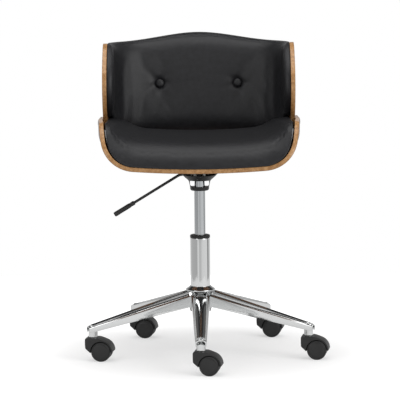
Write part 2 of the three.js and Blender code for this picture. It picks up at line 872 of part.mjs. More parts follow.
const seatBoltSpots = [-seatBoltY, seatBoltY].flatMap((y) => [-seatBoltX, seatBoltX].map((x) => [x, y]));
add("seat_mechanism", mechanismSolid(), "blackSteel");

// Two round-headed screws hang from the flange in the bell's open front.
const screwHead = bellLip - edgeBreak;
for (const [name, side] of Object.entries(sides)) {
  const screw = turned(
    [
      [0, screwHead],
      [screwRadius - edgeBreak, screwHead],
      [screwRadius, screwHead + edgeBreak],
      [screwRadius, screwHead + screwHeadHeight],
      [screwRadius / 2, screwHead + screwHeadHeight],
      [screwRadius / 2, flangeBottom - clearance],
      [0, flangeBottom - clearance],
    ],
    16,
  );
  const y = screwSetback - bellRadius;
  add(`tension_screw_${name}`, screw.translate([(side * screwSpacing) / 2, y, 0]), "steel");
}

// Seat bolts come up from below through the flange and the plywood.
const boltHeadTop = flangeBottom - clearance;
const seatBolt = turned(
  [
    [0, boltHeadTop - boltHeadHeight],
    [boltHeadRadius, boltHeadTop - boltHeadHeight],
    [boltHeadRadius, boltHeadTop],
    [boltRadius, boltHeadTop],
    [boltRadius, seatBase - clearance],
    [0, seatBase - clearance],
  ],
  12,
);
seatBoltSpots.forEach(([x, y], i) => add(`seat_bolt_${i + 1}`, seatBolt.translate([x, y, 0]), "steel"));

// ---------------------------------------------------------------- height lever

// Round rod with a bend, and a flat inner blade that presses the valve pin.
function leverSolid() {
  const slope = radians(leverSlope);
  const path = new THREE.CurvePath();
  const bendIn = new THREE.Vector3(leverBendX + leverBend, 0, leverAxisZ);
  const bend = new THREE.Vector3(leverBendX, 0, leverAxisZ);
  const along = new THREE.Vector3(-Math.cos(slope), 0, -Math.sin(slope));
  const bendOut = bend.clone().addScaledVector(along, leverBend);
  const end = bend.clone().addScaledVector(along, leverReach);
  path.add(new THREE.LineCurve3(new THREE.Vector3(leverPivotX - leverBladeTail / 2, 0, leverAxisZ), bendIn));
  path.add(new THREE.QuadraticBezierCurve3(bendIn, bend, bendOut));
  path.add(new THREE.LineCurve3(bendOut, end));
  const stations = [
    ...[0, 1].map((t) => [path.curves[0].getPoint(t), path.curves[0].getTangent(t)]),
    ...[0.25, 0.5, 0.75].map((t) => [path.curves[1].getPoint(t), path.curves[1].getTangent(t)]),
    ...[0, 1].map((t) => [path.curves[2].getPoint(t), path.curves[2].getTangent(t)]),
  ];
  const facets = 12;
  const rings = stations.map(([point, tangent]) => {
    const across = new THREE.Vector3(0, 1, 0);
    const up = tangent.clone().cross(across).normalize();
    return Array.from({ length: facets }, (_, i) => {
      const angle = (i / facets) * 2 * Math.PI;
      return point
        .clone()
        .addScaledVector(across, leverRadius * Math.cos(angle))
        .addScaledVector(up, leverRadius * Math.sin(angle));
    });
  });
  const rod = loft(rings);
  const half = leverBladeHeight / 2;
  const corner = leverBladeHeight / 3;
  const bladeStart = leverPivotX - leverBladeTail;
  const blade = frontPrism(
    rounded([
      [bladeStart, leverAxisZ - half, corner],
      [leverTipX, leverAxisZ - half, corner],
      [leverTipX, leverAxisZ + half / 2, corner],
      [leverPivotX, leverAxisZ + half, corner],
      [bladeStart, leverAxisZ + half, corner],
    ]),
    -leverBladeHalf,
    leverBladeHalf,
    4,
  );
  const bore = pivotRadius + clearance;
  const hole = crossCylinder(bore, -leverRadius - past, leverRadius + past, leverPivotX, leverAxisZ, 14);
  return { body: rod.add(blade).subtract(hole), end, along };
}

const lever = leverSolid();
add("lever_rod", lever.body, "blackSteel");

// Turned plastic grip, drawn along Z from its mouth and laid along the rod.
const gripMouth = leverRadius + clearance;
const gripProfile = [
  [0, gripOverlap + clearance],
  [gripMouth, gripOverlap + clearance],
  [gripMouth, 0],
  [gripRadius - edgeBreak, 0],
  [gripRadius - gripStep, edgeBreak],
  [gripRadius - gripStep, gripNeck - edgeBreak],
  [gripRadius, gripNeck],
  [gripRadius, gripLength - gripRadius],
  [gripRadius - edgeBreak, gripLength - edgeBreak],
  [gripRadius - 2 * edgeBreak, gripLength],
  [0, gripLength],
];
const grip = add("lever_grip", turned(gripProfile, 16), "nylon");
grip.quaternion.setFromUnitVectors(new THREE.Vector3(0, 0, 1), lever.along);
grip.position.copy(lever.end).addScaledVector(lever.along, -gripOverlap);

const pinReach = gusset + earThickness + pivotProud;
add("lever_pivot_pin", crossCylinder(pivotRadius, -pinReach, pinReach, leverPivotX, leverAxisZ, 14), "steel");

// ---------------------------------------------------------------- plywood shells

const seatSplay = (y) => THREE.MathUtils.smoothstep(y, seatSplayStart, seatSplayEnd);
const seatHalf = (y) => lerp(seatHalfFront, seatHalfRear, seatSplay(y));
const seatCorner = (y) => lerp(seatCornerFront, seatCornerRear, seatSplay(y));
const seatLean = (y) => lerp(seatWingLean, 0, seatSplay(y));
const widening = Array.from({ length: splaySteps + 1 }, (_, i) => {
  return lerp(seatSplayStart, seatSplayEnd, i / splaySteps);
});

// Side outline of the seat's wings, which trims the U, moved inwards by inset.
function wingOutline(inset, front, rear, floor) {
  const [footRound, frontRound, shoulderRound, rearRound, heelRound] = wingCorners;
  const shoulderTop = (wingTopFront + wingTopRear) / 2;
  return rounded([
    [front, floor, 0],
    [front + wingSlopeLean, seatUnderside + wingSlopeFoot, footRound],
    [seatFront + wingSlopeDepth + inset, wingTopFront - inset, frontRound],
    [seatSplayEnd + wingShoulder, shoulderTop - inset, shoulderRound],
    [rear - wingRearLean, wingTopRear - inset, rearRound],
    [rear, seatUnderside + wingRearFoot, heelRound],
    [rear, floor, 0],
  ]);
}

// The seat: a U section whose corners tighten towards the rear, so that the back shell nests inside its wings.
function seatShellSolid() {
  const rings = [seatFront, ...widening, seatRear].map((y) => {
    const section = {
      half: seatHalf(y),
      corner: seatCorner(y),
      bow: seatBow,
      lean: seatLean(y),
      height: wingFrontHeight,
    };
    const outer = uLine(section, 0, seatUnderside, wallTop);
    const inner = uLine(section, ply, seatUnderside, wallTop);
    return uRing(outer, inner, (u, v) => new THREE.Vector3(u, y, v));
  });
  const trim = wingOutline(0, seatFront, seatRear, seatUnderside - past);
  return loft(rings)
    .intersect(sidePrism(trim, -seatHalfRear - past, seatHalfRear + past))
    .subtract(seatBoltHoles(seatUnderside, seatBase))
    .subtract(shellBoltHoles());
}

function shellBoltHoles() {
  const reach = seatHalfRear + past;
  const hole = cylinder(boltRadius + clearance, -reach, reach, 14).rotate([0, 90, 0]);
  return shellBoltY.map((y) => hole.translate([0, y, shellBoltZ])).reduce((all, one) => all.add(one));
}

// A point of the back's side outline, given by its depth ahead of the rear face and its height over the seat.
const backY = (depth) => backRear - depth;
const backZ = (height) => seatUnderside + height;
const behindBack = backRear + leanShift(backTop) + past;

// Front edge of a back wing, drawn upwards from its foot: a forward bulge, a rounded head, a falling top.
function drawBackEdge(shape, inset, head, shoulder) {
  const headY = backY(backHeadDepth) + inset;
  const dipY = backY(backDipDepth);
  shape.quadraticCurveTo(backY(backBulgeDepth) + inset, backZ(backBulgeHeight), headY, head - backHeadDrop);
  shape.quadraticCurveTo(headY + backHeadRound, head, backY(backTopDepth) + inset, head);
  shape.lineTo(dipY, shoulder);
  shape.lineTo(dipY + backDipLength, shoulder);
  shape.lineTo(dipY + backDipLength, backTop + past);
  shape.lineTo(behindBack, backTop + past);
}

// Side outline of the back shell, with the tabs that go down inside the seat's wings.
function backOutline() {
  const tabBottom = backZ(backTabHeight);
  const bottom = backZ(backBottomHeight);
  const footY = backY(backFootDepth);
  const shape = new THREE.Shape();
  shape.moveTo(backY(backTabFront), tabBottom);
  shape.quadraticCurveTo(footY, tabBottom, footY, backZ(backFootHeight));
  drawBackEdge(shape, 0, backHead, backShoulder);
  shape.lineTo(behindBack, bottom);
  shape.lineTo(backY(backTabRear) + backTabHeel, bottom);
  shape.quadraticCurveTo(backY(backTabRear) + backTabHeel / 3, bottom, backY(backTabRear), tabBottom);
  shape.closePath();
  return shape;
}

// Front outline of the back: a head on each wing, level shoulders, and a crown in the middle.
function crownOutline(half, head, shoulder) {
  const bottom = seatUnderside - past;
  const flatEnd = backHalf - backCrownFlat;
  const headEnd = half - backHeadEdge;
  const near = 0.35 * flatEnd;
  const shape = new THREE.Shape();
  shape.moveTo(-half, bottom);
  shape.lineTo(-half, head + past);
  shape.lineTo(-headEnd, head);
  shape.lineTo(-headEnd + backHeadRun, shoulder);
  shape.lineTo(-flatEnd, shoulder);
  shape.bezierCurveTo(-2 * near, shoulder, -near, shoulder + backCrown, 0, shoulder + backCrown);
  shape.bezierCurveTo(near, shoulder + backCrown, 2 * near, shoulder, flatEnd, shoulder);
  shape.lineTo(headEnd - backHeadRun, shoulder);
  shape.lineTo(headEnd, head);
  shape.lineTo(half, head + past);
  shape.lineTo(half, bottom);
  shape.closePath();
  return shape;
}

// A U wall in plan that leans back with height, trimmed by a side outline and by the crown.
function leaningU(outer, inner, half, outline, crown) {
  const rings = [seatUnderside, backTop + past].map((z) =>
    uRing(outer, inner, (u, v) => new THREE.Vector3(u, backRear + leanShift(z) - v, z)),
  );
  const width = half + past;
  return loft(rings)
    .intersect(sidePrism(outline, -width, width, 7))
    .intersect(frontPrism(crown, backY(backBulgeDepth), behindBack, 6));
}

const backReach = backBulgeDepth + past;

function backShellSolid() {
  const section = { half: backHalf, corner: backCorner, bow: backBow };
  const outer = uLine(section, 0, 0, backReach, 9, 6);
  const inner = uLine(section, ply, 0, backReach, 9, 6);
  const crown = crownOutline(backHalf + clearance, backHead, backShoulder);
  return leaningU(outer, inner, backHalf, backOutline(), crown).subtract(shellBoltHoles());
}

add("seat_shell", seatShellSolid(), "walnut");
add("back_shell", backShellSolid(), "walnut");

// Domed bolts fasten the back's tabs to the inside of the seat's wings.
const capSeat = seatHalfRear + clearance;
const shellBolt = turned(
  [
    [0, backHalf - ply + clearance],
    [boltRadius, backHalf - ply + clearance],
    [boltRadius, capSeat],
    [shellBoltCap, capSeat],
    [shellBoltCap, capSeat + edgeBreak / 2],
    [shellBoltCap - 2 * edgeBreak, capSeat + shellBoltDome - edgeBreak / 2],
    [0, capSeat + shellBoltDome],
  ],
  14,
);
for (const [name, side] of Object.entries(sides)) {
  const bolt = shellBolt.rotate([0, 90 * side, 0]);
  shellBoltY.forEach((y, i) => add(`shell_bolt_${name}_${i + 1}`, bolt.translate([0, y, shellBoltZ]), "steel"));
}

// ---------------------------------------------------------------- upholstery

// Seat pad: a thick U that fills the shell, with a rounded front edge.
function seatPadSolid() {
  const base = seatBase + seatPadGap;
  const rings = [seatPadFront, ...widening, seatPadRear].map((y) => {
    const under = {
      half: seatPadHalf,
      corner: seatCorner(y) - ply - seatPadStrip,
      bow: seatBow,
      lean: seatLean(y),
      height: wingFrontHeight - ply,
    };
    const sitting = {
      half: seatPadHalf - seatPadSide,
      corner: seatPadInnerCorner,
      bow: seatPadBow,
      lean: seatLean(y),
      height: wingFrontHeight - ply - seatPadDepth,
    };
    const outer = uLine(under, 0, base, wallTop);
    const inner = uLine(sitting, 0, base + seatPadDepth, wallTop);
    return uRing(outer, inner, (u, v) => new THREE.Vector3(u, y, v));
  });
  const side = wingOutline(seatPadInset, seatPadFront, seatPadRear, base - past);
  const surface = base + seatPadDepth + seatPadBow;
  const nose = new THREE.Shape();
  nose.moveTo(seatPadFront - past, surface + clearance);
  nose.lineTo(seatPadFront - past, surface - seatNose);
  nose.lineTo(seatPadFront, surface - seatNose);
  nose.quadraticCurveTo(seatPadFront, surface, seatPadFront + seatNoseDepth, surface);
  nose.lineTo(seatPadFront + seatNoseDepth, surface + clearance);
  nose.closePath();
  const noseHalf = seatPadHalf - seatPadSide - seatPadInnerCorner / 2;
  const planHalf = seatPadHalf + clearance;
  const plan = rounded([
    [-planHalf, seatPadFront - past, 0],
    [planHalf, seatPadFront - past, 0],
    [planHalf, seatPadRear, seatPadPlanCorner],
    [-planHalf, seatPadRear, seatPadPlanCorner],
  ]);
  const depth = wallTop - base + 2 * past;
  const footprint = solid(new THREE.ExtrudeGeometry(plan, { depth, bevelEnabled: false, curveSegments: 8 }));
  return loft(rings)
    .intersect(footprint.translate([0, 0, base - past]))
    .intersect(sidePrism(side, -planHalf, planHalf))
    .subtract(sidePrism(nose, -noseHalf, noseHalf));
}
add("seat_cushion", seatPadSolid(), "leather");

const padOuterHalf = backHalf - ply - clearance;
const padBack = ply + clearance;

// Side outline of the back pad: the shell's edge moved in, and the sides cut away over the seat's wings.
function backPadOutline() {
  const sideBottom = backZ(backPadSideHeight);
  const heel = seatPadRear + backPadHeel;
  const shape = new THREE.Shape();
  shape.moveTo(backY(backFootDepth) + backPadInset, sideBottom);
  drawBackEdge(shape, backPadInset, backHead - backPadHeadDrop, backShoulder + backPadProud);
  shape.lineTo(behindBack, backZ(backPadBottomHeight));
  shape.lineTo(heel, backZ(backPadBottomHeight));
  shape.quadraticCurveTo(heel, sideBottom, heel - backPadHeelCurve, sideBottom);
  shape.closePath();
  return shape;
}

const backFace = {
  half: padOuterHalf - backPadSide,
  corner: backPadInnerCorner,
  bow: backBow,
};

function backPadSolid() {
  const rear = { half: padOuterHalf, corner: backCorner - padBack, bow: backBow };
  const outer = uLine(rear, 0, padBack, backReach, 9, 6);
  const inner = uLine(backFace, 0, padBack + backPadDepth, backReach, 9, 6);
  const crown = crownOutline(padOuterHalf + clearance, backHead - backPadHeadDrop, backShoulder + backPadProud);
  return leaningU(outer, inner, padOuterHalf, backPadOutline(), crown);
}

// Covered buttons, let into the pad's front face.
function buttonPlace(x) {
  const faceY = backRear + leanShift(buttonZ) - padBack - backPadDepth;
  return faceY - backBow * (x / floorHalfOf(backFace)) ** 2;
}

const facing = [90 - backLean, 0, 0];
const dimple = cylinder(buttonRadius + dimpleGap, -buttonDimple, backPadDepth, 20).rotate(facing);
const button = turned(
  [
    [0, 0],
    [buttonRadius - edgeBreak, 0],
    [buttonRadius, edgeBreak],
    [buttonRadius - edgeBreak, buttonHeight - edgeBreak],
    [buttonRadius / 2, buttonHeight - edgeBreak / 3],
    [0, buttonHeight],
  ],
  16,
)
  .translate([0, 0, clearance - buttonDimple])
  .rotate(facing);

let backPad = backPadSolid();
for (const [name, side] of Object.entries(sides)) {
  const x = side * buttonX;
  const place = [x, buttonPlace(x), buttonZ];
  backPad = backPad.subtract(dimple.translate(place));
  add(`back_button_${name}`, button.translate(place), "leather");
}
add("back_cushion", backPad, "leather");

// The frame's origin is on the floor, under the middle of the whole chair.
root.updateMatrixWorld(true);
const extent = new THREE.Box3().setFromObject(root, true);
const middle = extent.getCenter(new THREE.Vector3());
root.position.set(-middle.x, -middle.y, -extent.min.z);
root.updateMatrixWorld(true);

const chair = new THREE.Group();
chair.add(root);

export default chair;
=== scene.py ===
# %% [markdown]
# # A swivel office chair around its fixed frame
# The imported model gives every hard dimension, joint and place. This lesson dresses it: bent-plywood
# shells with a veneer face, padded leather-look upholstery, chromed arms and moulded casters.
# The frame is loaded first, and each part's box is read from it. The looks must never outgrow it.

# %% Load the frame
import json
import math
import bmesh
import bpy
from mathutils import Matrix, Vector


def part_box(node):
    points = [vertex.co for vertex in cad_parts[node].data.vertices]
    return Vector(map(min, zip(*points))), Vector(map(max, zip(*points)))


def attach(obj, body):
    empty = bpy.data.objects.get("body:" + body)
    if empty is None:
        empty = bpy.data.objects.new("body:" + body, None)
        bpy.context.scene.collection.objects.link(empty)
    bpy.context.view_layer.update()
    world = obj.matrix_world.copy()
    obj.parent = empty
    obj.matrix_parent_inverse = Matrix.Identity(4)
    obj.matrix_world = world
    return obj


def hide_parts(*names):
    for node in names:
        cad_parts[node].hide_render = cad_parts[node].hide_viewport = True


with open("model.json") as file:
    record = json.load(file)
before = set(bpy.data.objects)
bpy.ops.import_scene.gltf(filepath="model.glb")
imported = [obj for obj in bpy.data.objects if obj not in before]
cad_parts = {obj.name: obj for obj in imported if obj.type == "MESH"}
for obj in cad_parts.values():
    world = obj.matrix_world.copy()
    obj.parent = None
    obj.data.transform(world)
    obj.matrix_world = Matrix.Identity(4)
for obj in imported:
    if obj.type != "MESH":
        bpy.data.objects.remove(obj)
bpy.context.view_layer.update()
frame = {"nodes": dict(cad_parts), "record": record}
MM = 0.001

# %% [markdown]
# Everything on this chair is measured from the gas column: it is the axis that the seat turns about.
# The hub is round, so the middle of its box is that axis. `at` turns millimetres about the column
# into a point of the frame, so the sizes below read like those on a maker's drawing.

# %% The column's axis is the ruler's zero
hub_low, hub_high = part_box("base_hub")
AXIS = (hub_low + hub_high) / 2


def at(x, y, z):
    return Vector((AXIS.x + x * MM, AXIS.y + y * MM, z * MM))


def box_mm(node):
    low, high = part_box(node)
    zero = Vector((AXIS.x, AXIS.y, 0))
    return (low - zero) / MM, (high - zero) / MM


def middle_mm(node):
    low, high = box_mm(node)
    return (low + high) / 2


FOOT = at(0, 0, 0)
UP = Vector((0, 0, 1))
print("column axis", round(AXIS.x, 4), round(AXIS.y, 4))

# %% [markdown]
# ## Colour and materials
# A colour picked on a screen is sRGB, while the shader adds light in linear steps, so one function
# turns a hex value to linear. One small function adds a node, sets it and links it, and each
# material is then a short recipe named for the real stuff. A mix node's colours have no names of
# their own, so their socket numbers are named here.

# %% Two helpers for every material
COLOUR_A, COLOUR_B, MIXED = 6, 7, 2


def linear(hex_colour):
    channels = [int(hex_colour[i:i + 2], 16) / 255 for i in (1, 3, 5)]
    return [c / 12.92 if c <= 0.04045 else ((c + 0.055) / 1.055) ** 2.4 for c in channels] + [1.0]


def add_node(material, kind, inputs=None, **settings):
    made = material.node_tree.nodes.new(kind)
    for name, value in settings.items():
        setattr(made, name, value)
    for socket, value in (inputs or {}).items():
        if isinstance(value, bpy.types.NodeSocket):
            material.node_tree.links.new(value, made.inputs[socket])
        else:
            made.inputs[socket].default_value = value
    return made


def new_material(name, **shader):
    material = bpy.data.materials.new(name)
    material.use_nodes = True
    surface = material.node_tree.nodes["Principled BSDF"]
    for socket, value in shader.items():
        surface.inputs[socket.replace("_", " ")].default_value = value
    return material, surface


def colour_steps(ramp, steps):
    stops = ramp.color_ramp.elements
    while len(stops) < len(steps):
        stops.new(0.5)
    for stop, (place, colour) in zip(stops, steps):
        stop.position = place
        stop.color = linear(colour)


# %% [markdown]
# **Chromed steel.** Mirror plating over pressed steel: nearly all of its look is what it reflects.
# Real plating is never perfectly even, so a broad, faint ripple and a slight haze break the mirror.

# %% Chromed steel
chrome, shader = new_material("chromed_steel", Base_Color=linear("#DEDFDF"), Metallic=1.0, Roughness=0.07)
place = add_node(chrome, "ShaderNodeTexCoord").outputs["Object"]
haze = add_node(chrome, "ShaderNodeTexNoise", {"Vector": place, "Scale": 60.0, "Detail": 3.0})
spread = add_node(chrome, "ShaderNodeMapRange", {
    "Value": haze.outputs["Fac"], "To Min": 0.05, "To Max": 0.11})
ripple = add_node(chrome, "ShaderNodeTexNoise", {"Vector": place, "Scale": 22.0, "Detail": 1.0})
bump = add_node(chrome, "ShaderNodeBump", {
    "Height": ripple.outputs["Fac"], "Strength": 0.02, "Distance": 0.002})
chrome.node_tree.links.new(spread.outputs["Result"], shader.inputs["Roughness"])
chrome.node_tree.links.new(bump.outputs["Normal"], shader.inputs["Normal"])
print("made", chrome.name)

# %% [markdown]
# **Hard-chromed cylinder.** The sliding cylinder is ground round and then plated, which leaves very
# fine rings across it. They widen its highlight a little, so it looks greyer than the arms.

# %% Ground and plated cylinder
ground_chrome, shader = new_material(
    "ground_chrome", Base_Color=linear("#C6C9CB"), Metallic=1.0, Roughness=0.14)
place = add_node(ground_chrome, "ShaderNodeTexCoord").outputs["Object"]
squeeze = add_node(ground_chrome, "ShaderNodeMapping", {"Vector": place, "Scale": (8.0, 8.0, 900.0)})
rings = add_node(ground_chrome, "ShaderNodeTexNoise", {
    "Vector": squeeze.outputs["Vector"], "Scale": 1.0, "Detail": 2.0})
spread = add_node(ground_chrome, "ShaderNodeMapRange", {
    "Value": rings.outputs["Fac"], "To Min": 0.09, "To Max": 0.2})
ground_chrome.node_tree.links.new(spread.outputs["Result"], shader.inputs["Roughness"])
print("made", ground_chrome.name)

# %% [markdown]
# **Zinc-plated steel.** Bolts, axles and stems: a dull silver with a soft, cloudy sheen.

# %% Zinc plate
zinc, shader = new_material(
    "zinc_plated_steel", Base_Color=linear("#B5B4B0"), Metallic=1.0, Roughness=0.34)
place = add_node(zinc, "ShaderNodeTexCoord").outputs["Object"]
clouds = add_node(zinc, "ShaderNodeTexNoise", {"Vector": place, "Scale": 180.0, "Detail": 3.0})
ramp = add_node(zinc, "ShaderNodeValToRGB", {"Fac": clouds.outputs["Fac"]})
colour_steps(ramp, [(0.3, "#A3A29D"), (0.7, "#C4C3BF")])
zinc.node_tree.links.new(ramp.outputs["Color"], shader.inputs["Base Color"])
print("made", zinc.name)

# %% [markdown]
# **Powder coat.** The mechanism and the lever are sprayed with black powder and baked. It dries to
# a fine orange peel, about half a millimetre across, which breaks up every highlight.

# %% Black powder coat
powder_coat, shader = new_material(
    "black_powder_coat", Base_Color=linear("#171717"), Roughness=0.42, IOR=1.5)
place = add_node(powder_coat, "ShaderNodeTexCoord").outputs["Object"]
peel = add_node(powder_coat, "ShaderNodeTexNoise", {"Vector": place, "Scale": 1600.0, "Detail": 2.0})
bump = add_node(powder_coat, "ShaderNodeBump", {
    "Height": peel.outputs["Fac"], "Strength": 0.25, "Distance": 0.0003})
powder_coat.node_tree.links.new(bump.outputs["Normal"], shader.inputs["Normal"])
print("made", powder_coat.name)

# %% [markdown]
# **Moulded nylon.** Hoods, wheels, the column's bush and the lever's grip come out of a spark-eroded
# mould: dark grey, with a fine texture that keeps the gloss low. The wheels carry a little floor
# dust, so their colour is broken up by a broad noise.

# %% Moulded nylon
nylon, shader = new_material("moulded_nylon", Roughness=0.46, IOR=1.53)
place = add_node(nylon, "ShaderNodeTexCoord").outputs["Object"]
dust = add_node(nylon, "ShaderNodeTexNoise", {"Vector": place, "Scale": 40.0, "Detail": 4.0})
ramp = add_node(nylon, "ShaderNodeValToRGB", {"Fac": dust.outputs["Fac"]})
colour_steps(ramp, [(0.3, "#1D1D1D"), (0.75, "#262626")])
spark = add_node(nylon, "ShaderNodeTexNoise", {"Vector": place, "Scale": 1800.0, "Detail": 1.0})
bump = add_node(nylon, "ShaderNodeBump", {
    "Height": spark.outputs["Fac"], "Strength": 0.3, "Distance": 0.0003})
nylon.node_tree.links.new(ramp.outputs["Color"], shader.inputs["Base Color"])
nylon.node_tree.links.new(bump.outputs["Normal"], shader.inputs["Normal"])
print("made", nylon.name)

# %% [markdown]
# **Walnut veneer.** The face of the plywood. Slow bands of light and dark wood follow the length of
# the sheet, and fine pores, a few tenths of a millimetre wide and many long, lie along them. Both
# are the same noise, pulled out along the grain. The pattern reads an attribute, `grain`, which
# holds the flat sheet's own coordinates, so the grain bends with the shell as the real veneer does.

# %% Walnut veneer
veneer, shader = new_material("walnut_veneer", Roughness=0.36, Coat_Weight=0.25, Coat_Roughness=0.2)
grain = add_node(veneer, "ShaderNodeAttribute", attribute_name="grain").outputs["Vector"]
stretch = add_node(veneer, "ShaderNodeMapping", {"Vector": grain, "Scale": (1.6, 38.0, 1.0)})
bands = add_node(veneer, "ShaderNodeTexNoise", {
    "Vector": stretch.outputs["Vector"], "Scale": 1.0, "Detail": 5.0, "Distortion": 0.6})
ramp = add_node(veneer, "ShaderNodeValToRGB", {"Fac": bands.outputs["Fac"]})
colour_steps(ramp, [(0.3, "#57371F"), (0.5, "#7C5434"), (0.72, "#996D48")])
fine = add_node(veneer, "ShaderNodeMapping", {"Vector": grain, "Scale": (45.0, 1600.0, 1.0)})
pores = add_node(veneer, "ShaderNodeTexNoise", {
    "Vector": fine.outputs["Vector"], "Scale": 1.0, "Detail": 2.0})
holes = add_node(veneer, "ShaderNodeMapRange", {
    "Value": pores.outputs["Fac"], "From Min": 0.3, "From Max": 0.5, "To Min": 0.72, "To Max": 1.0})
darker = add_node(veneer, "ShaderNodeMix", {
    "Factor": 1.0, COLOUR_A: ramp.outputs["Color"], COLOUR_B: holes.outputs["Result"]},
    data_type="RGBA", blend_type="MULTIPLY")
bump = add_node(veneer, "ShaderNodeBump", {
    "Height": pores.outputs["Fac"], "Strength": 0.12, "Distance": 0.0003})
veneer.node_tree.links.new(darker.outputs[MIXED], shader.inputs["Base Color"])
veneer.node_tree.links.new(bump.outputs["Normal"], shader.inputs["Normal"])
print("made", veneer.name)

# %% [markdown]
# **Plywood edge.** The rim shows the sheet's nine plies, alternately along and across the grain.
# A second attribute, `ply_depth`, runs from 0 on one face to 1 on the other and draws the layers.
# The edge is sanded and lacquered, so the layers are close in colour.

# %% Plywood edge
PLIES = 9
ply_edge, shader = new_material("plywood_edge", Roughness=0.38, Coat_Weight=0.3, Coat_Roughness=0.18)
depth = add_node(ply_edge, "ShaderNodeAttribute", attribute_name="ply_depth").outputs["Fac"]
count = add_node(ply_edge, "ShaderNodeMath", {0: depth, 1: PLIES * math.pi}, operation="MULTIPLY")
wave = add_node(ply_edge, "ShaderNodeMath", {0: count.outputs[0]}, operation="SINE")
place = add_node(ply_edge, "ShaderNodeTexCoord").outputs["Object"]
fibre = add_node(ply_edge, "ShaderNodeTexNoise", {"Vector": place, "Scale": 130.0, "Detail": 4.0})
layers = {0: wave.outputs[0], 1: 0.22, 2: fibre.outputs["Fac"]}
mixed = add_node(ply_edge, "ShaderNodeMath", layers, operation="MULTIPLY_ADD")
ramp = add_node(ply_edge, "ShaderNodeValToRGB", {"Fac": mixed.outputs[0]})
colour_steps(ramp, [(0.2, "#845A2C"), (0.5, "#AC7C48"), (0.85, "#CAA070")])
ply_edge.node_tree.links.new(ramp.outputs["Color"], shader.inputs["Base Color"])
print("made", ply_edge.name)

# %% [markdown]
# **Black leather-look cover.** Coated cloth pressed with a leather grain: small rounded cells about
# a millimetre wide, parted by fine creases. Voronoi cells give the creases and a noise gives the
# soft swelling between them. The cells are drawn a little coarser than the real grain, so that they
# still show from across the room.

# %% Leather-look cover
leather, shader = new_material("black_leather", Roughness=0.44, IOR=1.46)
place = add_node(leather, "ShaderNodeTexCoord").outputs["Object"]
cells = add_node(leather, "ShaderNodeTexVoronoi", {"Vector": place, "Scale": 620.0},
                 feature="DISTANCE_TO_EDGE")
crease = add_node(leather, "ShaderNodeMapRange", {"Value": cells.outputs["Distance"], "From Max": 0.18})
swell = add_node(leather, "ShaderNodeTexNoise", {"Vector": place, "Scale": 90.0, "Detail": 4.0})
relief = {0: swell.outputs["Fac"], 1: 0.8, 2: crease.outputs["Result"]}
height = add_node(leather, "ShaderNodeMath", relief, operation="MULTIPLY_ADD")
bump = add_node(leather, "ShaderNodeBump", {
    "Height": height.outputs[0], "Strength": 0.16, "Distance": 0.0006})
ramp = add_node(leather, "ShaderNodeValToRGB", {"Fac": swell.outputs["Fac"]})
colour_steps(ramp, [(0.3, "#19191B"), (0.7, "#212124")])
polish = add_node(leather, "ShaderNodeMapRange", {
    "Value": swell.outputs["Fac"], "To Min": 0.38, "To Max": 0.5})
leather.node_tree.links.new(ramp.outputs["Color"], shader.inputs["Base Color"])
leather.node_tree.links.new(polish.outputs["Result"], shader.inputs["Roughness"])
leather.node_tree.links.new(bump.outputs["Normal"], shader.inputs["Normal"])
print("made", leather.name)

# %% [markdown]
# ## Making a piece
# Every hard piece ends the same way: doubles merged, normals pointing out, a mesh that sits in its
# final place, smooth shading broken at real edges, a body to ride on and a finish.

# %% Finish a piece
def piece_from(bm, name, body, materials, nodes=(), sharp=35):
    bmesh.ops.remove_doubles(bm, verts=bm.verts, dist=1e-6)
    bmesh.ops.recalc_face_normals(bm, faces=bm.faces)
    mesh = bpy.data.meshes.new(name)
    bm.to_mesh(mesh)
    bm.free()
    made = bpy.data.objects.new(name, mesh)
    bpy.context.scene.collection.objects.link(made)
    for material in materials:
        mesh.materials.append(material)
    mesh.shade_smooth()
    mesh.set_sharp_from_angle(angle=math.radians(sharp))
    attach(made, body)
    if nodes:
        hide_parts(*nodes)
    print(f"{name}: {len(mesh.polygons)} faces")
    return made


# %% [markdown]
# No real edge is perfectly sharp: a press, a mould or sandpaper always leaves a small radius, and
# that radius is what catches the light. `soften_edges` bevels every edge that turns more than a
# given angle.

# %% Rounded edges
def soften_edges(bm, width, angle=30, segments=2, chosen=None):
    bm.edges.ensure_lookup_table()
    limit = math.radians(angle)
    edges = [e for e in bm.edges if len(e.link_faces) == 2 and e.calc_face_angle(0) > limit]
    if chosen:
        edges = [e for e in edges if chosen(e)]
    bmesh.ops.bevel(bm, geom=edges, offset=width * MM, offset_type="OFFSET", segments=segments,
                    profile=0.5, affect="EDGES", clamp_overlap=True, material=-1)


# %% [markdown]
# Where the frame's own solid already has the right shape, a piece starts as a copy of it. The
# copy's loose triangles are merged and its flat faces rejoined before its edges can be rounded.
# `cut` slices a piece with a plane, and can throw away the side that the normal points to.

# %% A clean copy of a frame solid
FLAT = math.radians(1)


def copy_of(node):
    bm = bmesh.new()
    bm.from_mesh(frame["nodes"][node].data)
    bmesh.ops.remove_doubles(bm, verts=bm.verts, dist=2e-6)
    bmesh.ops.dissolve_limit(bm, angle_limit=FLAT, verts=bm.verts, edges=bm.edges)
    return bm


def dressed_copy(node, name, body, material, width, angle):
    bm = copy_of(node)
    soften_edges(bm, width, angle)
    return piece_from(bm, name, body, [material], [node])


def cut(bm, point, normal, clear_outer=False):
    bmesh.ops.bisect_plane(bm, geom=bm.verts[:] + bm.edges[:] + bm.faces[:], dist=1e-6,
                           plane_co=point, plane_no=normal, clear_outer=clear_outer)


# %% [markdown]
# Round pieces are turned, as on a lathe: a few vertices draw half of the section, as pairs of a
# radius and a height in millimetres, and `spin` takes it round its axis. The heights are measured
# from `origin` along `direction`, and a section that leaves the axis free is closed into a ring.

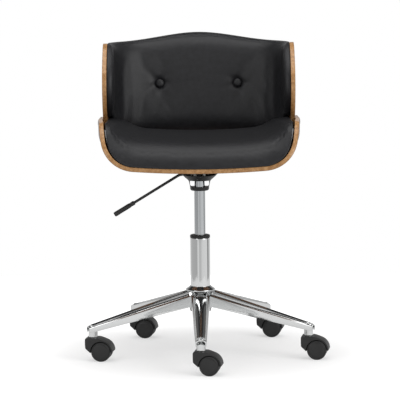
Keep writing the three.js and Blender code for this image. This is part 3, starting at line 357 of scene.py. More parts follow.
# %% Turned pieces
def lathe(profile, origin, direction, steps):
    bm = bmesh.new()
    axis = Vector(direction).normalized()
    side = axis.orthogonal().normalized()
    verts = [bm.verts.new(origin + side * (r * MM) + axis * (h * MM)) for r, h in profile]
    for a, b in zip(verts, verts[1:]):
        bm.edges.new((a, b))
    if profile[0][0] > 0 or profile[-1][0] > 0:
        bm.edges.new((verts[-1], verts[0]))
    bmesh.ops.spin(bm, geom=bm.verts[:] + bm.edges[:], cent=origin, axis=axis, angle=math.tau,
                   steps=steps, use_merge=True, use_duplicate=False)
    bmesh.ops.remove_doubles(bm, verts=bm.verts, dist=1e-6)
    bmesh.ops.recalc_face_normals(bm, faces=bm.faces)
    return bm


# %% [markdown]
# ## The base
# Five pressed-steel arms are plated in chrome. Each is a channel, open below, with a broad ridge,
# steep shoulders and upright sides. A trough is pressed along the ridge to stiffen it, so the ridge
# becomes two rounded lips. The long edges are the first thing the eye follows, so they are round.
# Each arm starts as a copy of the frame's solid, and its ridge is spread away from its middle line.
# The long flat faces are then cut across at even steps, because a mirror on one very long face
# shades unevenly. A turned sleeve holds the caster's stem at the arm's end.

# %% Chromed arms
RIDGE_SPREAD = 1.7
LIP_RADIUS, LIP_TURN, LIP_STEPS = 4.4, 12, 6
LIP_WIDTH, TROUGH_WALL, TROUGH_DEPTH = 1.2, 2.6, 2.4
TROUGH_RADIUS, TROUGH_TURN, SHORTEST = 0.5, 40, 4
SLICES = range(36, 300, 12)
SLEEVE_BORE, SLEEVE_RADIUS, SLEEVE_HEIGHT = 6.2, 11.2, 16


def is_long_top_edge(edge):
    a, b = (v.co for v in edge.verts)
    return (a - b).length > 150 * MM and min(a.z, b.z) > 75 * MM


def ridge_of(bm):
    return max((f for f in bm.faces if f.normal.z > 0.9), key=lambda f: f.calc_area())


for i in range(1, 6):
    bm = copy_of(f"base_arm_{i}")
    stem = middle_mm(f"caster_{i}_stem")
    along = stem.xy.normalized().to_3d()
    sideways = Vector((-along.y, along.x, 0))
    for vert in ridge_of(bm).verts:
        vert.co += sideways * (vert.co - FOOT).dot(sideways) * (RIDGE_SPREAD - 1)
    soften_edges(bm, LIP_RADIUS, LIP_TURN, LIP_STEPS, is_long_top_edge)
    ridge = ridge_of(bm)
    bmesh.ops.inset_region(bm, faces=[ridge], thickness=LIP_WIDTH * MM, use_even_offset=True)
    bmesh.ops.inset_region(bm, faces=[ridge], thickness=TROUGH_WALL * MM, depth=-TROUGH_DEPTH * MM,
                           use_even_offset=True)
    soften_edges(bm, TROUGH_RADIUS, TROUGH_TURN, 2, lambda e: e.calc_length() > SHORTEST * MM)
    for reach in SLICES:
        cut(bm, FOOT + along * reach * MM, along)
    piece_from(bm, f"chromed_arm_{i}", "base", [chrome], [f"base_arm_{i}"], 30)
    under = box_mm(f"base_arm_{i}")[0].z
    bm = lathe(
        [(SLEEVE_BORE, under), (SLEEVE_RADIUS - 0.8, under), (SLEEVE_RADIUS, under + 0.8),
         (SLEEVE_RADIUS, under + SLEEVE_HEIGHT), (SLEEVE_BORE, under + SLEEVE_HEIGHT)],
        at(stem.x, stem.y, 0), UP, 64)
    piece_from(bm, f"stem_sleeve_{i}", "base", [chrome])

# %% [markdown]
# The hub is a turned collar: a ring that caps the arms, and a low cone that runs up to the tube.

# %% Hub
HUB_RADIUS, HUB_SKIRT = 30, 38
low, high = box_mm("base_hub")
arm_top = box_mm("base_arm_1")[1].z
collar = high.x
bm = lathe(
    [(24.4, low.z), (26.7, low.z), (HUB_RADIUS, arm_top - HUB_SKIRT), (HUB_RADIUS, arm_top + 0.4),
     (collar, arm_top + 0.4), (collar, arm_top + 3.2), (collar - 1.6, arm_top + 5.2),
     (collar - 6.5, arm_top + 8.0), (28.6, arm_top + 10.6), (26.9, high.z), (25.4, high.z)],
    FOOT, UP, 96)
soften_edges(bm, 0.8, 30, 2)
piece_from(bm, "hub_collar", "base", [chrome], ["base_hub"], 40)

# %% [markdown]
# ## The gas column
# The outer tube is chromed like the arms and ends in a rolled lip. A black nylon bush fills its
# mouth and guides the ground cylinder, which slides in it when the seat goes up or down.

# %% Tube, bush and cylinder
TUBE_FOOT, TAPER_TOP, MOUTH = 113, 176, 300
TUBE_RADIUS, TUBE_BORE, ROD_HOLE = 25, 23, 4.9
BUSH_FOOT, BUSH_BORE, BUSH_RADIUS, BUSH_COLLAR = 224, 14.4, 22.6, 25.6

bm = lathe(
    [(ROD_HOLE, TUBE_FOOT), (23.4, TUBE_FOOT), (TUBE_RADIUS, TAPER_TOP), (TUBE_RADIUS, MOUTH - 1.8),
     (24.6, MOUTH - 0.6), (23.8, MOUTH), (TUBE_BORE, MOUTH), (TUBE_BORE, TAPER_TOP),
     (21.4, TUBE_FOOT + 4), (ROD_HOLE, TUBE_FOOT + 4)],
    FOOT, UP, 96)
piece_from(bm, "column_tube", "base", [chrome], ["column_outer_tube"], 30)

bm = lathe(
    [(BUSH_BORE, BUSH_FOOT), (BUSH_RADIUS, BUSH_FOOT), (BUSH_RADIUS, MOUTH + 0.4), (25.4, MOUTH + 0.4),
     (BUSH_COLLAR, MOUTH + 0.8), (BUSH_COLLAR, MOUTH + 2.4), (25.0, MOUTH + 2.8),
     (25.0, MOUTH + 3.6), (BUSH_COLLAR, MOUTH + 4.0), (BUSH_COLLAR, MOUTH + 5.6),
     (24.6, MOUTH + 7.1), (23.6, MOUTH + 7.5), (16.2, MOUTH + 7.5), (BUSH_BORE, MOUTH + 6.4)],
    FOOT, UP, 96)
piece_from(bm, "column_bush", "base", [nylon], ["column_guide_bushing"], 30)

low, high = box_mm("gas_cylinder")
bottom, top = low.z, high.z
bm = lathe(
    [(0, top - 60), (11.4, top - 60), (11.4, bottom + 12), (ROD_HOLE, bottom + 12), (ROD_HOLE, bottom),
     (12.8, bottom), (14, bottom + 1.2), (14, top - 32), (12.8, top), (3.8, top), (3.8, top - 14),
     (0, top - 14)],
    FOOT, UP, 96)
piece_from(bm, "ground_cylinder", "seat", [ground_chrome], ["gas_cylinder"], 30)

# %% [markdown]
# ## Under the seat
# A pressed bell grips the cylinder's taper, opens in two windows and spreads into the bolted flange.
# The frame holds its true shape, so a copy is enough, with the press's small radii added. Two screw
# heads show inside the bell, and four hexagon bolts run up into the seat.

# %% Mechanism and screws
dressed_copy("seat_mechanism", "mechanism_bell", "seat", powder_coat, 0.7, 34)

for side in ("left", "right"):
    low, high = box_mm(f"tension_screw_{side}")
    middle = middle_mm(f"tension_screw_{side}")
    head = low.z
    bm = lathe(
        [(0, head + 1.6), (1.6, head + 1.6), (1.9, head + 0.2), (3.2, head), (4.6, head + 0.9),
         (5, head + 2.2), (5, head + 5.4), (4.6, head + 6), (2.5, head + 6), (2.5, high.z), (0, high.z)],
        at(middle.x, middle.y, 0), UP, 32)
    piece_from(bm, f"tension_screw_head_{side}", "seat", [zinc], [f"tension_screw_{side}"], 30)

for i in range(1, 5):
    low, high = box_mm(f"seat_bolt_{i}")
    middle = middle_mm(f"seat_bolt_{i}")
    centre = at(middle.x, middle.y, 0)
    head = low.z + 4
    bm = lathe([(0, low.z), (5.6, low.z), (6.5, low.z + 0.8), (6.5, head), (0, head)], centre, UP, 6)
    shank = lathe([(0, head), (3, head), (3, high.z), (0, high.z)], centre, UP, 24)
    joined = bpy.data.meshes.new("shank")
    shank.to_mesh(joined)
    bm.from_mesh(joined)
    piece_from(bm, f"hex_bolt_{i}", "seat", [zinc], [f"seat_bolt_{i}"], 30)

# %% [markdown]
# The lever is a bent round rod with a moulded grip pushed over its end. The grip has a collar at its
# mouth and swells slightly towards the tip. The rod turns down at `ROD_BEND`, and the grip is laid
# along the slope that starts there.

# %% Lever
ROD_BEND, ROD_SLOPE, ROD_REACH = Vector((-50, 0, 462.5)), math.radians(31.3), 159
GRIP_OVERLAP = 22
dressed_copy("lever_rod", "lever_bent_rod", "lever", powder_coat, 0.4, 45)
along = Vector((-math.cos(ROD_SLOPE), 0, -math.sin(ROD_SLOPE)))
rod_end = ROD_BEND + along * ROD_REACH
mouth = rod_end - along * GRIP_OVERLAP
bm = lathe(
    [(0, GRIP_OVERLAP + 0.4), (3.9, GRIP_OVERLAP + 0.4), (3.9, 0), (4.9, 0), (5.5, 0.7), (5.6, 1.8),
     (5.6, 8.6), (5.1, 9.2), (4.8, 10.2), (5.2, 11.2), (5.7, 13), (6.1, 20), (6.0, 40), (6.2, 52),
     (6.2, 56), (5.7, 58.6), (4.6, 59.8), (0, 60)],
    at(*mouth), along, 40)
piece_from(bm, "lever_moulded_grip", "lever", [nylon], ["lever_grip"], 30)

# %% [markdown]
# ## Casters
# Each caster has two nylon wheels under one moulded hood. A wheel is turned round its own axle: a
# tread with rounded shoulders, a shallow groove that parts it from a slightly domed face, and a
# hollow inner side. The wheel stands beside the hood's web. The hood is a copy of the frame's solid:
# a slope cuts off its lower front corner, and every edge gets the generous radius of a moulding.

# %% Wheels and hoods
WHEEL = 25
INNER, OUTER = 5.3, 22.8
CUT_HEIGHT, CUT_AHEAD, CUT_DOWN = 18.2, 0.67, 0.74
HOOD_RADIUS = 2.2
wheel_section = [
    (0, OUTER - 5.5), (3.9, OUTER - 5.5), (3.9, INNER), (7.5, INNER), (8.2, INNER + 1.4),
    (20.4, INNER + 1.4), (21.4, INNER), (24.0, INNER), (WHEEL - 0.2, INNER + 0.6), (WHEEL, INNER + 1.6),
    (WHEEL, OUTER - 4.2), (WHEEL - 0.5, OUTER - 2.2), (WHEEL - 1.8, OUTER - 0.8),
    (WHEEL - 3.2, OUTER - 0.4), (WHEEL - 3.8, OUTER - 1.0), (WHEEL - 4.6, OUTER - 1.0),
    (WHEEL - 5.2, OUTER - 0.5), (14, OUTER - 0.1), (6, OUTER), (0, OUTER)]
joints = {joint["name"]: joint for joint in frame["record"]["behaviour"]["joints"]}

for i in range(1, 6):
    centre = middle_mm(f"caster_{i}_axle")
    outward = Vector(joints[f"wheel_{i}_right_spin"]["axis"])
    for side, way in (("left", -1), ("right", 1)):
        bm = lathe(wheel_section, at(*centre), outward * way, 72)
        piece_from(bm, f"caster_{i}_tyre_{side}", f"wheel_{i}_{side}", [nylon],
                   [f"caster_{i}_wheel_{side}"], 40)
    swivel = middle_mm(f"caster_{i}_stem")
    ahead = Vector((swivel.x - centre.x, swivel.y - centre.y, 0)).normalized()
    bm = copy_of(f"caster_{i}_hood")
    cut(bm, at(swivel.x, swivel.y, CUT_HEIGHT), ahead * CUT_AHEAD - UP * CUT_DOWN, clear_outer=True)
    bmesh.ops.holes_fill(bm, edges=[e for e in bm.edges if e.is_boundary], sides=0)
    soften_edges(bm, HOOD_RADIUS, 32, 4)
    piece_from(bm, f"caster_{i}_moulded_hood", f"caster_{i}", [nylon], [f"caster_{i}_hood"])

# %% [markdown]
# ## Plain steel parts
# The stems, axles, pins, clip, bearing and piston rod are plain turned or stamped steel. Their solids
# already have the right shape, so each stays as it is and only gets its zinc plate.

# %% Plain steel parts
plain = ["thrust_bearing", "piston_rod", "retaining_clip", "lever_pivot_pin", "valve_pin"]
plain += [f"caster_{i}_{part}" for i in range(1, 6) for part in ("stem", "axle")]
for node in plain:
    for slot in frame["nodes"][node].material_slots:
        slot.material = zinc
print("plated", len(plain), "plain steel parts")

# %% [markdown]
# ## Bent plywood
# A bent shell is a flat, rounded sheet pressed into a U. It is made the same way here: a grid is
# the flat sheet, its corners are rounded, and every point is then bent into place. The sheet is
# extruded through its thickness, and the rim's edges are rounded as sandpaper leaves them.
# Two attributes go with it: `grain`, the flat sheet's own coordinates, and `ply_depth`.

# %% The bent U in section
class BentU:
    """A bowed floor, two round corners and two sides that may open outwards by `lean` degrees."""

    def __init__(self, half, corner, bow, lean=0.0, height=0.0):
        self.corner, self.bow, self.tilt = corner, bow, math.radians(lean)
        straight = height - bow - corner * (1 - math.sin(self.tilt))
        centre = half - corner * math.cos(self.tilt) - straight * math.tan(self.tilt)
        self.floor = (centre + math.sqrt(centre ** 2 + 8 * bow * corner)) / 2
        self.slope = math.atan(2 * bow / self.floor)
        self.arc = corner * (math.pi / 2 - self.tilt - self.slope)
        self.arc_top = bow + corner * (math.cos(self.slope) - math.sin(self.tilt))

    def point(self, distance):
        s = abs(distance)
        if s <= self.floor:
            return distance, self.bow * (s / self.floor) ** 2
        turn = self.slope + min(s - self.floor, self.arc) / self.corner
        wall = max(s - self.floor - self.arc, 0)
        x = self.floor + self.corner * (math.sin(turn) - math.sin(self.slope)) + wall * math.sin(self.tilt)
        rise = self.bow + self.corner * (math.cos(self.slope) - math.cos(turn)) + wall * math.cos(self.tilt)
        return math.copysign(x, distance), rise

    def distance(self, rise):
        if rise >= self.arc_top:
            return self.floor + self.arc + (rise - self.arc_top) / math.cos(self.tilt)
        turn = math.acos(math.cos(self.slope) - max(rise - self.bow, 0) / self.corner)
        return self.floor + self.corner * (turn - self.slope)


def smooth(value, low, high):
    t = min(max((value - low) / (high - low), 0), 1)
    return t * t * (3 - 2 * t)


def mix(a, b, t):
    return a + (b - a) * t


# %% Round a flat sheet's corners
def round_corner(a, b, radius_a, radius_b):
    p, q = (abs(a) - 1 + radius_a) / radius_a, (abs(b) - 1 + radius_b) / radius_b
    if p <= 0 or q <= 0:
        return a, b
    new_a = 1 - radius_a + radius_a * p * math.sqrt(1 - q * q / 2)
    new_b = 1 - radius_b + radius_b * q * math.sqrt(1 - p * p / 2)
    return math.copysign(new_a, a), math.copysign(new_b, b)


# %% A bent sheet and its second face
def bent_sheet(bend, columns, rows, outside, gather=1.0):
    """A grid bent into place, and a second face over it that shares its rim.

    `gather` crowds the rows and columns at the rim.
    """
    bm = bmesh.new()
    bmesh.ops.create_grid(bm, x_segments=columns, y_segments=rows, size=1)
    flat = bm.verts.layers.float_vector.new("flat")
    grain = bm.verts.layers.float_vector.new("grain")
    inward = bm.verts.layers.float_vector.new("inward")
    depth = bm.verts.layers.float.new("ply_depth")
    for v in bm.verts:
        a, b = (math.copysign(1 - (1 - min(abs(c), 1)) ** gather, c) for c in v.co.xy)
        v[flat] = (a, b, 0)
        v.co, v[grain] = bend(a, b)
    bmesh.ops.recalc_face_normals(bm, faces=bm.faces)
    bm.normal_update()
    middle = min(bm.verts, key=lambda v: v[flat].length)
    turned_in = middle.normal.dot(Vector(outside)) < 0
    for v in bm.verts:
        v[inward] = v.normal if turned_in else -v.normal
    grown = bmesh.ops.extrude_face_region(bm, geom=bm.faces[:], use_keep_orig=True)
    second = [g for g in grown["geom"] if isinstance(g, bmesh.types.BMVert)]
    return bm, second, {"flat": flat, "grain": grain, "inward": inward, "depth": depth}


# %% Press a sheet into a shell
def press_shell(name, bend, columns, rows, thickness, outside, nodes):
    bm, inner, layer = bent_sheet(bend, columns, rows, outside)
    for v in inner:
        v.co += v[layer["inward"]] * thickness * MM
        v[layer["depth"]] = 1
    for f in bm.faces:
        depths = [v[layer["depth"]] for v in f.verts]
        f.material_index = int(max(depths) > 0.5 > min(depths))
    bmesh.ops.recalc_face_normals(bm, faces=bm.faces)
    rim = [e for e in bm.edges if len({f.material_index for f in e.link_faces}) == 2]
    bmesh.ops.bevel(bm, geom=rim, offset=1.6 * MM, offset_type="OFFSET", segments=3, profile=0.5,
                    affect="EDGES", clamp_overlap=True, material=-1)
    return piece_from(bm, name, "seat", [veneer, ply_edge], nodes, 45)


# %% [markdown]
# The seat's U is about half a metre wide. Its wings open outwards at the front and stand upright at
# the rear, where the back shell fits between them. Their front edges slope back, with round corners.
# Each pair below holds a size at the front and at the rear. How far back a point lies and how high
# it stands depend on each other, so the two are worked out in turn a few times.

# %% Seat shell
PLY = 11
UNDERSIDE = box_mm("seat_shell")[0].z
WING, WING_LEVEL_AT, WING_DROP, WING_RUN = 121.3, -187, 16, 378
SEAT_FRONT, SEAT_REAR = -240, 205
SEAT_HALF, SEAT_CORNER, SEAT_LEAN, SEAT_BOW = (248.5, 257.2), (86, 76), (8, 0), 6
TOE, TOE_HEIGHT = 4, 42
SWEEP, SWEEP_FROM, SWEEP_POWER = 49, 36, 1.25
REAR_STEP, STEP_FROM, STEP_TO = 14, 62, 112
SPLAY_FROM, SPLAY_TO = -165, 30
FRONT_ROUND, REAR_ROUND = (0.115, 0.2), (0.06, 0.11)


def splay(y):
    return smooth(y, SPLAY_FROM, SPLAY_TO)


def seat_u(y):
    t = splay(y)
    return BentU(mix(*SEAT_HALF, t), mix(*SEAT_CORNER, t), SEAT_BOW, mix(*SEAT_LEAN, t), WING)


def wing_height(y):
    return WING - (y - WING_LEVEL_AT) * WING_DROP / WING_RUN


def front_edge(height):
    toe = TOE * min(height / TOE_HEIGHT, 1)
    return SEAT_FRONT + toe + SWEEP * (max(height - SWEEP_FROM, 0) / (WING - SWEEP_FROM)) ** SWEEP_POWER


def rear_edge(height):
    return SEAT_REAR - REAR_STEP * smooth(height, STEP_FROM, STEP_TO)


def bend_seat(a, b):
    a, b = round_corner(a, b, *(FRONT_ROUND if b < 0 else REAR_ROUND))
    y = mix(SEAT_FRONT, SEAT_REAR, (b + 1) / 2)
    for _ in range(3):
        u = seat_u(y)
        distance = a * u.distance(wing_height(y))
        x, rise = u.point(distance)
        y = mix(front_edge(rise), rear_edge(rise), (b + 1) / 2)
    return at(x, y, UNDERSIDE + rise), Vector((distance, y, 0)) * MM


press_shell("seat_plywood_shell", bend_seat, 120, 44, PLY, (0, 0, -1), ["seat_shell"])

# %% [markdown]
# The back's U lies in plan and leans back eight degrees. Its wings bulge forwards and end in a
# round head, the top edge falls a little behind the heads and rises again to a low crown, and the
# lower edge steps up to the tabs that are bolted inside the seat's wings. The wing's front edge is
# one smooth curve, drawn by three points that pull it: forwards in the middle, back at both ends.

# %% Back shell
BACK_U = BentU(245.4, 118, 14)
BACK_REAR, LEAN_BASE, LEAN = 244, 566, math.tan(math.radians(8))
HEAD, SHOULDER, CROWN, CROWN_HALF = 793.2, 784.5, 21.5, 205.4
FALL_FROM, FALL_RUN = 96, 94
LOWER_REAR, LOWER_TAB, TAB_FROM, TAB_TO = 545, 572, 150, 185
PULL_Y, PULL_FOOT, PULL_RISE, PULL_BEND = (40, -55, 66), 600, 200, 20.8
TOP_ROUND, LOWER_ROUND = (0.075, 0.14), (0.06, 0.22)


def rear_face(z):
    return BACK_REAR + LEAN * (z - LEAN_BASE)


def back_top(x, y, head, shoulder):
    side = mix(head, shoulder, min(max((y - FALL_FROM) / FALL_RUN, 0), 1))
    return side + CROWN * smooth(1 - abs(x) / CROWN_HALF, 0, 1)


def wing_front(z):
    climb = max(min(z, HEAD) - PULL_FOOT, 0)
    t = (PULL_RISE - math.sqrt(PULL_RISE ** 2 - 4 * PULL_BEND * climb)) / (2 * PULL_BEND)
    return PULL_Y[0] * (1 - t) ** 2 + 2 * PULL_Y[1] * t * (1 - t) + PULL_Y[2] * t * t


def bend_back(a, b):
    a, b = round_corner(a, b, *(TOP_ROUND if b > 0 else LOWER_ROUND))
    z = mix(LOWER_TAB, SHOULDER, (b + 1) / 2)
    for _ in range(4):
        distance = a * BACK_U.distance(rear_face(z) - wing_front(z))
        x, ahead = BACK_U.point(distance)
        y = rear_face(z) - ahead
        lower = mix(LOWER_TAB, LOWER_REAR, smooth(y, TAB_FROM, TAB_TO))
        z = mix(lower, back_top(x, y, HEAD, SHOULDER), (b + 1) / 2)
    return at(x, y, z), Vector((distance, z, 0)) * MM


press_shell("back_plywood_shell", bend_back, 120, 40, PLY, (0, 1, 0), ["back_shell"])

# %% [markdown]
# Four bolts hold the back's tabs to the seat's wings. Each has a low domed head with a small recess
# for the key, turned here in one piece with its shank.

# %% Shell bolts
for side, way in (("left", -1), ("right", 1)):
    for i in (1, 2):
        low, high = box_mm(f"shell_bolt_{side}_{i}")
        y, z = (low.y + high.y) / 2, (low.z + high.z) / 2
        outer = high.x if way > 0 else low.x
        inner = low.x if way > 0 else high.x
        length = abs(outer - inner)
        bm = lathe(
            [(0, 0), (3, 0), (3, length - 4), (7.6, length - 4), (8, length - 3.4), (7.5, length - 1.6),
             (5.8, length - 0.4), (3.6, length), (3.2, length - 0.2), (3.2, length - 2), (0, length - 2)],
            at(inner, y, z), (way, 0, 0), 32)
        piece_from(bm, f"shell_cap_{side}_{i}", "seat", [zinc], [f"shell_bolt_{side}_{i}"], 30)

# %% [markdown]
# ## Cushions
# Each pad is foam under a stitched cover, cut and sewn flat and then fixed inside the shell. So it is
# made like the shell: one face lies on the wood and the other is the sitting face, and the cover
# rolls from one to the other round the rim. Then the cover is blown up as cloth, so that it swells
# between the places that hold it. A point may move only a few millimetres. Last, a seam is sunk
# along the rim: one row of the cover is pulled in, and the rows beside it stand up.

# %% Foam and cover
PRESSURE, SWELL_STEPS, MOST_SWELL = 3.0, 20, 4
SEAM_RING, SEAM_SUNK, SEAM_PUCKER = 5, 1.3, 0.35


def roll(distance, width, power=2.2):
    u = min(max(distance / width, 0), 1)
    return (1 - (1 - u) ** power) ** (1 / power)


def upholster(name, under, sitting, edge, columns, rows, outside):
    """`under` and `sitting` place a flat point on each face, and `edge` says how far up it has rolled."""
    bm, cover, layer = bent_sheet(under, columns, rows, outside, 1.35)
    for v in cover:
        flat = v[layer["flat"]]
        v.co = v.co.lerp(sitting(flat.x, flat.y), edge(flat.x, flat.y))
        v[layer["depth"]] = 1
    bmesh.ops.remove_doubles(bm, verts=bm.verts, dist=2e-5)
    bmesh.ops.recalc_face_normals(bm, faces=bm.faces)
    mesh = bpy.data.meshes.new(name)
    bm.to_mesh(mesh)
    bm.free()
    obj = bpy.data.objects.new(name, mesh)
    bpy.context.scene.collection.objects.link(obj)
    return obj


def swell_cover(obj, held):
    before = [v.co.copy() for v in obj.data.vertices]
    free = [item.value > 0.5 for item in obj.data.attributes["ply_depth"].data]
    pins = obj.vertex_groups.new(name="held")
    for v in obj.data.vertices:
        pins.add([v.index], held(v.co) if free[v.index] else 1.0, "REPLACE")
    cloth = obj.modifiers.new("swell", "CLOTH")
    cloth.settings.vertex_group_mass = "held"
    cloth.settings.use_pressure = True
    cloth.settings.uniform_pressure_force = PRESSURE
    cloth.settings.effector_weights.gravity = 0
    cloth.settings.quality = 5
    cloth.point_cache.frame_end = SWELL_STEPS
    for step in range(1, SWELL_STEPS + 1):
        bpy.context.scene.frame_set(step)
    bpy.context.view_layer.objects.active = obj
    bpy.ops.object.modifier_apply(modifier="swell")
    bpy.context.scene.frame_set(1)
    moves = [v.co - old for v, old in zip(obj.data.vertices, before)]
    furthest = max(move.length for move in moves)
    for v, old, move in zip(obj.data.vertices, before, moves):
        v.co = old + move * min(1, MOST_SWELL * MM / furthest)
    print(f"{obj.name}: the cover would move {furthest / MM:.1f} mm, and is let out by {MOST_SWELL}")


def sew_seam(obj):
    bm = bmesh.new()
    bm.from_mesh(obj.data)
    depth = bm.verts.layers.float["ply_depth"]
    row = {v for v in bm.verts if v[depth] < 0.5 and any(e.other_vert(v)[depth] > 0.5 for e in v.link_edges)}
    seen = set(row)
    pulls = {SEAM_RING - 1: SEAM_PUCKER, SEAM_RING: -1.0, SEAM_RING + 1: SEAM_PUCKER}
    for step in range(1, SEAM_RING + 2):
        row = {e.other_vert(v) for v in row for e in v.link_edges} - seen
        row = {v for v in row if v[depth] > 0.5}
        seen |= row
        move = pulls.get(step, 0) * SEAM_SUNK * MM
        for v in row:
            v.co += v.normal * move
    bm.to_mesh(obj.data)
    bm.free()


def finish_pad(obj, nodes):
    obj.data.materials.append(leather)
    obj.data.shade_smooth()
    finer = obj.modifiers.new("finer", "SUBSURF")
    finer.levels = finer.render_levels = 1
    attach(obj, "seat")
    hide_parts(*nodes)
    print(f"{obj.name}: {len(obj.data.polygons)} faces")


# %% [markdown]
# The seat pad is a thick slab in the middle. It sweeps up to a horn at each wing, so its sitting face
# is one wide curve from side to side, and its front edge is a big, soft roll. Each pair below again
# holds a size at the front and at the rear.

# %% Seat pad
PAD_GAP = 0.7
PAD_BASE = UNDERSIDE + PLY + PAD_GAP
PAD_PROUD = 3
PAD_FRONT, PAD_REAR = SEAT_FRONT - PAD_PROUD, SEAT_REAR - 35
PAD_HALF, PAD_CORNER = 232.5, (70, 60)
SITTING_HEIGHT, SITTING_HALF, SITTING_CORNER, SITTING_BOW = (561, 562), (240, 236), 112, 5
HALF_LENGTH, HALF_SPREAD = 206, 300
FRONT_ROLL, REAR_ROLL, SIDE_ROLL = 70, 16, 12


def pad_front(height):
    return front_edge(height) - PAD_PROUD


def round_pad(a, b):
    return round_corner(a, b, 0.1, 0.16 if b < 0 else 0.3)


def seat_pad_u(y):
    t = splay(y)
    return BentU(PAD_HALF, mix(*PAD_CORNER, t), SEAT_BOW, mix(*SEAT_LEAN, t), WING - PLY)


def seat_under(a, b):
    a, b = round_pad(a, b)
    y = mix(PAD_FRONT, PAD_REAR, (b + 1) / 2)
    for _ in range(3):
        u = seat_pad_u(y)
        distance = a * u.distance(wing_height(y) - PLY - PAD_GAP)
        x, rise = u.point(distance)
        y = mix(pad_front(rise + PLY), PAD_REAR, (b + 1) / 2)
    return at(x, y, PAD_BASE + rise), Vector((distance, y, 0)) * MM


def seat_top(a, b):
    a, b = round_pad(a, b)
    y = mix(PAD_FRONT, PAD_REAR, (b + 1) / 2)
    for _ in range(3):
        base = mix(*SITTING_HEIGHT, smooth(y, -200, 90))
        u = BentU(mix(*SITTING_HALF, splay(y)), SITTING_CORNER, SITTING_BOW)
        x, rise = u.point(a * u.distance(UNDERSIDE + wing_height(y) - 4 - base))
        y = mix(pad_front(base + rise - UNDERSIDE), PAD_REAR, (b + 1) / 2)
    return at(x, y, base + rise)


def seat_roll(a, b):
    front = b < 0
    ends = roll((1 + b) * HALF_LENGTH, FRONT_ROLL, 2.4) if front else roll((1 - b) * HALF_LENGTH, REAR_ROLL)
    return roll((1 - abs(a)) * HALF_SPREAD, SIDE_ROLL) * ends


seat_pad = upholster("seat_pad", seat_under, seat_top, seat_roll, 110, 84, (0, 0, -1))
swell_cover(seat_pad, lambda p: 0.0)
sew_seam(seat_pad)
finish_pad(seat_pad, ["seat_cushion"])

# %% [markdown]
# The back pad is tufted at two buttons, each pulled in through the foam by a cord, so the cover
# dips round it and a few soft folds run away from the dip. `TUFT` and `DIP` hold a depth and a width
# each: the cord's sharp pull, and the wide hollow round it. The pad's lower edge rolls under, behind
# the seat.

# %% Back pad
PAD_U, PAD_BEHIND = BentU(234, 106.6, 14), PLY + 0.4
FACE_U, FACE_AHEAD, FACE_CROWN = BentU(217, 92, 14), 51.4, 5
HEEL_SIDE, HEEL_MIDDLE, WING_INSET, TOP_PROUD = 604, 541, 9, 6
BACK_HALF_HEIGHT, BACK_HALF_SPREAD = 118, 370
HEEL_ROLL, TOP_ROLL, WING_ROLL = 58, 48, 15
TUFT, DIP, FOLD = (11, 13), (4, 36), 1.1
BUTTONS = {side: middle_mm(f"back_button_{side}") for side in ("left", "right")}


def on_back(u, behind, a, b):
    a, b = round_corner(a, b, 0.07, 0.14 if b > 0 else 0.3)
    z = mix(HEEL_MIDDLE, SHOULDER + TOP_PROUD, (b + 1) / 2)
    for _ in range(4):
        distance = a * u.distance(rear_face(z) - behind - wing_front(z) - WING_INSET)
        x, ahead = u.point(distance)
        y = rear_face(z) - behind - ahead
        low = mix(HEEL_SIDE, HEEL_MIDDLE, smooth(y, 140 - behind, 195 - behind))
        z = mix(low, back_top(x, y, HEAD - 1.5, SHOULDER + TOP_PROUD), (b + 1) / 2)
    return x, y, z, distance


def back_under(a, b):
    x, y, z, distance = on_back(PAD_U, PAD_BEHIND, a, b)
    return at(x, y, z), Vector((distance, z, 0)) * MM


def dent(r, depth_and_width):
    depth, width = depth_and_width
    return depth * math.exp(-(r / width) ** 2)


def tuft(x, z):
    pull = 0
    for centre in BUTTONS.values():
        across, up = x - centre.x, z - centre.z
        r = math.hypot(across, up)
        rays = math.cos(5 * math.atan2(up, across) + 0.6)
        folds = rays * smooth(r, 9, 22) * math.exp(-((r - 20) / 16) ** 2)
        pull += dent(r, TUFT) + dent(r, DIP) + FOLD * folds
    return pull


def back_face(a, b):
    x, y, z, _ = on_back(FACE_U, FACE_AHEAD, a, b)
    crown = FACE_CROWN * (1 - min(abs(x) / 170, 1) ** 2) * (1 - b * b)
    return at(x, y + tuft(x, z) - crown, z)


def back_roll(a, b):
    low = b < 0
    reach = (1 + b if low else 1 - b) * BACK_HALF_HEIGHT
    ends = roll(reach, HEEL_ROLL, 2.0) if low else roll(reach, TOP_ROLL, 2.6)
    return roll((1 - abs(a)) * BACK_HALF_SPREAD, WING_ROLL) * ends


back_pad = upholster("back_pad", back_under, back_face, back_roll, 130, 84, (0, 1, 0))


def near_button(p):
    gap = min(math.hypot(p.x - AXIS.x - c.x * MM, p.z - c.z * MM) for c in BUTTONS.values()) / MM
    return 1 - smooth(gap, 9, 16)


swell_cover(back_pad, near_button)
sew_seam(back_pad)
finish_pad(back_pad, ["back_cushion"])

# %% [markdown]
# Each button is a domed cap covered in the same material. It sits at the bottom of its dip.

# %% Buttons
for side, centre in BUTTONS.items():
    bm = lathe(
        [(0, -3), (8.8, -3), (10.4, -1.8), (10.8, -0.2), (10.0, 1.8), (7.6, 3.4), (4, 4.2), (0, 4.5)],
        at(*centre), (0, -1, 0.1), 40)
    piece_from(bm, f"covered_button_{side}", "seat", [leather], [f"back_button_{side}"], 50)
